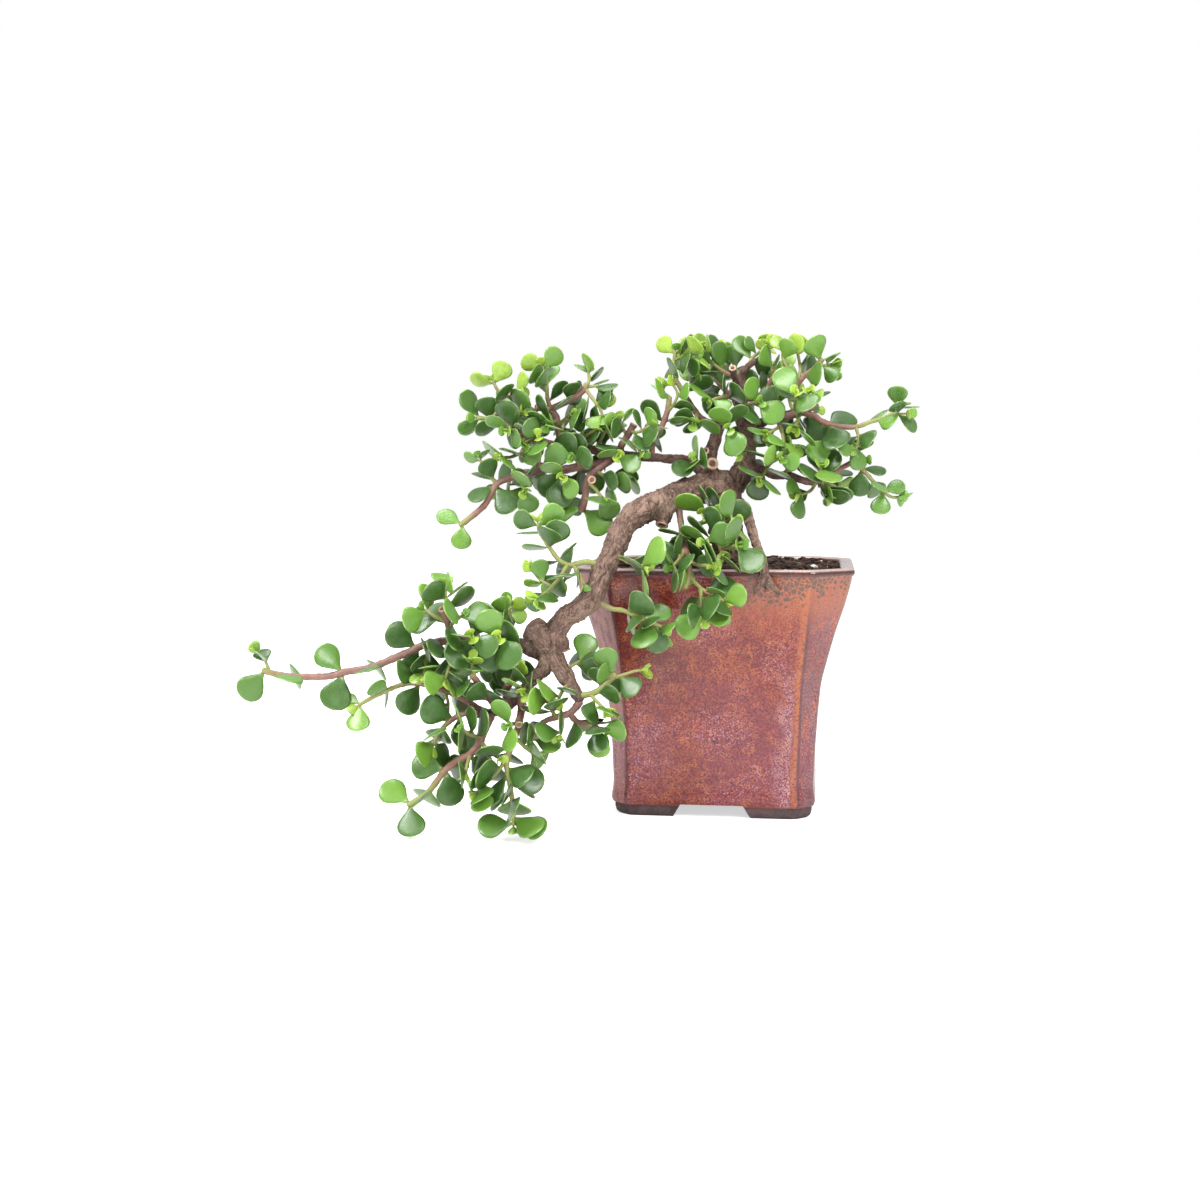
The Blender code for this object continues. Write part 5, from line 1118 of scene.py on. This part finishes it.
def seat_pair(owner, line, reach, sizes, share, around, seed, tries, stir):
    """A leaf on each side of a stem, stirred further at each try until it has room."""
    stem = frame_at(line, reach)
    for hand in (0, 1):
        rng = random.Random(seed + hand)
        for attempt in range(tries):
            leaf = try_leaf(owner, stem, sizes, share, around + 180 * hand, rng,
                            1 + attempt * stir)
            if leaf:
                leaves[owner[0]].append(leaf)
                break


laid = lay_branches(wood_lines)
parts = {name: part_point(name, laid, wood_lines) for name in laid}
letters = {name: sum(ord(c) for c in name) for name in laid}
leaves = {name: [] for name in laid}
standing = []
stem_balls = [(point, radius, None) for line in wood_lines for point, radius in line]
stem_balls += [(point, radius, (name, k)) for name, lines in laid.items()
               for k, line in enumerate(lines) for point, radius in line]
# First every stem's set pairs, then more wherever there is room.
for name, lines in laid.items():
    for k, line in enumerate(lines):
        pairs, first, sizes, turn = BRANCHES[name][k][2:]
        if k == 0:
            first = max(first, parts[name] + 3)
        for pair in range(pairs):
            share = pair / max(pairs - 1, 1)
            seat_pair((name, k), line, first + (span(line) - 0.7 - first) * share, sizes, share,
                      turn + 90 * (pairs - 1 - pair), letters[name] * 100 + k * 20 + pair * 2,
                      9, 0.5)
for name, lines in laid.items():
    close = 6.0 if name.split("_")[1] in ("low", "middle") else 8.0
    for k, line in enumerate(lines):
        pairs, first, sizes, turn = BRANCHES[name][k][2:]
        stub = pairs == 0 and BRANCHES[name][k][1][1] >= 1.7 and span(line) < 24
        if stub or k in SPARSE.get(name, ()):
            continue
        start = max(first, (parts[name] + 3) if k == 0 else 4)
        low, high = (sizes if pairs else (17, 15))
        count = max(1, int((span(line) - start) / close))
        for more in range(count):
            seat_pair((name, k), line, start + (span(line) - 0.7 - start) * (more + 0.5) / count,
                      (low * 0.95, high * 0.95), more / count, turn + 45 + 90 * more,
                      letters[name] * 131 + k * 57 + more * 7, 6, 1)


def blade(leaf, rows, ring):
    """A fleshy leaf as a skin of lens-shaped rings, with a faint groove down its face."""
    frame, length, sunk, cup, curl, old = leaf
    half = length * LEAF_WIDTH / 2
    thick = max(length * 0.095, 0.9)
    points = []
    marks = []
    for i in range(rows + 1):
        t = 1 - (1 - i / rows) ** 1.35
        if t < 0.64:
            width = 0.07 + 0.93 * math.sin(math.pi / 2 * t / 0.64) ** 1.6
        else:
            width = math.sqrt(max(1 - ((t - 0.64) / 0.365) ** 2, 0.0))
        x = -sunk * 0.5 + (length + sunk * 0.5) * t
        deep = thick * (0.30 + 0.70 * math.sin(math.pi * min(t * 0.95 + 0.06, 1.0)) ** 0.7)
        deep *= min(1.0, width * 2.2 + 0.12)
        for k in range(ring):
            turn = 2 * math.pi * k / ring
            across, lift = math.cos(turn), math.sin(turn)
            z = curl * max(x, 0.0) ** 2 / length + cup * abs(across * width) ** 2 * length
            z += math.copysign(abs(lift) ** 0.8, lift) * deep / 2
            if lift > 0.5:
                z -= deep * 0.10 * math.exp(-(across * width / 0.16) ** 2) * (1 - t)
            points.append(Vector((x, across * width * half, z)))
            marks.append((t, abs(across)))
    return put(frame, points), marks


def tip_buds(line, rng):
    """Two crossed pairs of small new leaves at a stem's growing tip."""
    ahead = (line[-1][0] - line[-2][0]).normalized()
    level = level_beside(ahead)
    spin = rng.uniform(0, math.pi)
    fresh = -0.35 if rng.random() < 0.35 else 0.22
    sizes = (rng.uniform(5.2, 7.4), rng.uniform(3.2, 4.4))
    buds = []
    for stage, (size, lean) in enumerate(zip(sizes, (0.60, 0.30))):
        for hand in (0, 1):
            turn = spin + stage * math.pi / 2 + hand * math.pi
            out = level * math.cos(turn) + ahead.cross(level) * math.sin(turn)
            axis = ahead * math.cos(lean) + out * math.sin(lean)
            face = ahead * math.sin(lean) - out * math.cos(lean)
            buds.append(((line[-1][0] + ahead * 0.4, axis, face.cross(axis), face), size, 0.5,
                         0.05, -0.05, fresh))
    return buds


STEM_SIDES = 10
ROWS, RING = 8, 10
skin = tube_faces(ROWS + 1, RING)
cut_ends = []
branch_pieces = []
for name, lines in laid.items():
    points, faces, tint, kinds = [], [], [], []
    for k, line in enumerate(lines):
        pairs = BRANCHES[name][k][2]
        tip = BRANCHES[name][k][1][1]
        every = 7 if line[0][1] > 1.5 else 5
        made, cover = swept(line, STEM_SIDES, lambda i, p: 1.0 + 0.16 * math.exp(
            -((i % every) - every / 2) ** 2 / 0.5) + 0.05 * noise.noise(p * 0.5))
        faces += shift(cover, len(points))
        kinds += [1] * len(cover)
        points += made
        for i in range(len(made)):
            step = int(clamp(i // STEM_SIDES - 1, 0, len(line) - 1))
            ring_mark = math.exp(-((step % every) - every / 2) ** 2 / 0.35)
            ripe = clamp((line[step][1] - 0.8) / 1.2) - 0.5 * (step / len(line)) ** 3
            tint.append((max(ripe - GREEN_STEMS.get(name, 0.0), 0.0), ring_mark,
                         step / len(line), 1.0))
        if pairs == 0 and tip >= (1.7 if k > 0 else 1.9):
            ahead = (line[-1][0] - line[-3][0]).normalized()
            cut_ends.append((line[-1][0] + ahead * line[-1][1] * 0.25, ahead, line[-1][1]))
        elif tip < 1.5:
            leaves[name] += tip_buds(line, random.Random(len(name) * 37 + k))
    for number, leaf in enumerate(leaves[name]):
        made, marks = blade(leaf, ROWS, RING)
        shade = random.Random(number * 17 + len(name)).uniform(0.0, 1.0)
        faces += shift(skin, len(points))
        kinds += [0] * len(skin)
        points += made
        tint += [(max(leaf[5] * 0.6 + 0.2, 0.0), shade, t, edge) for t, edge in marks]
    piece = mesh_from(name + "_leaves", points, faces)
    piece.data.polygons.foreach_set("material_index", kinds)
    note = piece.data.color_attributes.new("tint", 'FLOAT_COLOR', 'POINT')
    note.data.foreach_set("color", [x for four in tint for x in four])
    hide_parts(name)
    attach(piece, "root")
    branch_pieces.append(piece)

leaf_skin = Finish("jade_leaf", 0.38)
tint = leaf_skin.noted("tint")
age, shade, reach = leaf_skin.add("ShaderNodeSeparateColor", {0: tint["Color"]}).outputs
age = leaf_skin.math('ADD', age, leaf_skin.times(leaf_skin.math('SUBTRACT', shade, 0.5), 0.30))
leaf_skin.colour = leaf_skin.blend(leaf_skin.between(age, 0.10, 0.45), (0.36, 0.52, 0.06),
                                   (0.13, 0.285, 0.034))
leaf_skin.paint((0.042, 0.108, 0.017), leaf_skin.between(age, 0.40, 0.70))
mottle = leaf_skin.patches((0.095, 0.20, 0.055), 190.0, 0.45, 0.7, 0.35)
margin = leaf_skin.math('MAXIMUM', leaf_skin.between(tint["Alpha"], 0.90, 1.0),
                        leaf_skin.between(reach, 0.94, 1.0))
leaf_skin.paint((0.36, 0.50, 0.16), margin, 0.6)
leaf_skin.paint((0.36, 0.44, 0.13), leaf_skin.between(reach, 0.22, 0.02), 0.5)
leaf_skin.raised(leaf_skin.math('ADD', leaf_skin.cloud(900.0, 2.0), leaf_skin.times(
    leaf_skin.cloud(150.0, 2.0), 1.6)), 0.0003, 0.35)
leaf_skin.link("Roughness", leaf_skin.math('MULTIPLY_ADD', mottle, 0.24, 0.22))
for socket, value in (("Coat Weight", 0.25), ("Coat Roughness", 0.28),
                      ("Subsurface Weight", 0.12), ("Subsurface Scale", 0.002),
                      ("Subsurface Radius", (0.6, 1.0, 0.25))):
    leaf_skin.plain(socket, value)

stem_skin = Finish("succulent_stem", 0.5)
tint = stem_skin.noted("tint")
age, ring_mark, reach = stem_skin.add("ShaderNodeSeparateColor", {0: tint["Color"]}).outputs
stem_skin.colour = stem_skin.blend(stem_skin.between(age, 0.18, 0.55), (0.24, 0.28, 0.07),
                                   (0.235, 0.11, 0.082))
stem_skin.paint((0.21, 0.108, 0.088), stem_skin.between(age, 0.6, 0.95))
mottle = stem_skin.patches((0.32, 0.19, 0.13), 260.0, 0.45, 0.66, 0.5, 4.0)
stem_skin.paint((0.09, 0.040, 0.030), stem_skin.between(ring_mark, 0.4, 0.9), 0.45)
stem_skin.raised(mottle, 0.0004, 0.6)
skins = (leaf_skin.done(), stem_skin.done())
for piece in branch_pieces:
    for material in skins:
        piece.data.materials.append(material)

# Pruned ends: where a limb or stem was cut, a pale callus ring round a dark dry hollow.
# Each row of the profile is its radius and rise as shares of the stem's, and its material.
PROFILE = ((0.96, -0.9, 0), (1.10, -0.25, 0), (1.13, 0.0, 0), (1.06, 0.2, 1), (0.90, 0.27, 1),
           (0.74, 0.2, 1), (0.60, 0.0, 1), (0.50, -0.35, 2), (0.30, -0.55, 2), (0.05, -0.6, 2))
END_SIDES = 24
for line in wood_lines[1:]:
    blunt = line[-1][1] < 4.5 and line is not wood_lines[3]
    near = min((line[-1][0] - stem[0][0]).length for lines in laid.values() for stem in lines)
    if blunt and near > 6.0 and line[-1][1] > 1.7:
        ahead = (line[-1][0] - line[-3][0]).normalized()
        cut_ends.append((line[-1][0] + ahead * line[-1][1] * 0.22, ahead, line[-1][1]))
points, faces, kinds = [], [], []
for number, (spot, ahead, radius) in enumerate(cut_ends):
    level = level_beside(ahead)
    across = ahead.cross(level)
    faces += tube_faces(len(PROFILE), END_SIDES, len(points))
    kinds += [row[2] for row in PROFILE[1:] for k in range(END_SIDES)] + [0, 2]
    for out, rise, kind in PROFILE:
        for k in range(END_SIDES):
            turn = 2 * math.pi * k / END_SIDES
            around = level * math.cos(turn) + across * math.sin(turn)
            wave = 1 + 0.07 * noise.noise(around * 1.5 + Vector((number * 5.0, 0, 0)))
            points.append(spot + around * radius * out * wave + ahead * rise * min(radius, 2.2))
ends = mesh_from("pruned_ends", points, faces)
ends.data.polygons.foreach_set("material_index", kinds)
for name, dark, light in (("end_bark", (0.15, 0.07, 0.055), (0.27, 0.15, 0.11)),
                          ("end_callus", (0.40, 0.22, 0.14), (0.66, 0.47, 0.33)),
                          ("end_hollow", (0.07, 0.028, 0.018), (0.17, 0.07, 0.04))):
    material = Finish(name, 0.8)
    material.grained(500.0, 900.0, dark, light, 0.0003, 0.6)
    ends.data.materials.append(material.done())
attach(ends, "root")

# The studio: a plain pale floor, soft light from the front right and above, and the camera
# a metre before the pot at the height of the foliage.
FLOOR_HALF = 6.0
floor_mesh = bpy.data.meshes.new("floor")
floor_mesh.from_pydata([(x * FLOOR_HALF, y * FLOOR_HALF, 0) for x, y in
                        ((-1, -1), (1, -1), (1, 1), (-1, 1))], [], [(0, 1, 2, 3)])
floor = bpy.data.objects.new("floor", floor_mesh)
bpy.context.scene.collection.objects.link(floor)
paper = Finish("pale_paper", 0.9)
paper.plain("Base Color", (0.93, 0.93, 0.93, 1.0))
paper.plain("Specular IOR Level", 0.1)
paper.plain("Emission Color", (1.0, 1.0, 1.0, 1.0))
seen = paper.add("ShaderNodeLightPath").outputs["Is Camera Ray"]
paper.link("Emission Strength", paper.times(seen, 0.6))
floor.data.materials.append(paper.material)

# The sky is white to the camera and dimmer to the object, so that its tones stay deep.
world = bpy.data.worlds.new("studio")
bpy.context.scene.world = world
world.use_nodes = True
sky = world.node_tree.nodes["Background"]
sky.inputs["Color"].default_value = (1.0, 1.0, 1.0, 1.0)
nodes = Nodes(world.node_tree)
seen = nodes.add("ShaderNodeLightPath").outputs["Is Camera Ray"]
world.node_tree.links.new(nodes.between(seen, 0.0, 1.0, 0.62, 1.0), sky.inputs["Strength"])

# Each soft box: its name, how far across, up and toward the eye it hangs, its sides and power.
for name, across, up, toward, wide, tall, power in (("key", 0.7, 1.2, 1.3, 0.8, 0.6, 24.0),
                                                    ("side", -1.1, 1.4, 0.8, 0.8, 0.6, 31.0),
                                                    ("top", -0.2, 1.9, -0.3, 1.0, 0.9, 22.0)):
    lamp = bpy.data.lights.new(name, 'AREA')
    lamp.shape = 'RECTANGLE'
    lamp.size = wide
    lamp.size_y = tall
    lamp.energy = power
    holder = bpy.data.objects.new(name, lamp)
    holder.location = POT_AXIS + ACROSS * across - AWAY * toward + UP * up
    aim = POT_AXIS + ACROSS * -0.05 + UP * 0.13 - holder.location
    holder.rotation_euler = aim.to_track_quat('-Z', 'Y').to_euler()
    bpy.context.scene.collection.objects.link(holder)

LOOK_DOWN = 0.078
lens = bpy.data.cameras.new("camera")
lens.lens = 49.68
lens.sensor_width = 36.0
lens.clip_start = 0.05
camera = bpy.data.objects.new("camera", lens)
camera.location = POT_AXIS + EYE * MM
looking = AWAY * math.cos(LOOK_DOWN) - UP * math.sin(LOOK_DOWN)
camera.rotation_euler = looking.to_track_quat('-Z', 'Y').to_euler()
bpy.context.scene.collection.objects.link(camera)
bpy.context.scene.camera = camera
bpy.context.scene.view_settings.view_transform = 'Standard'
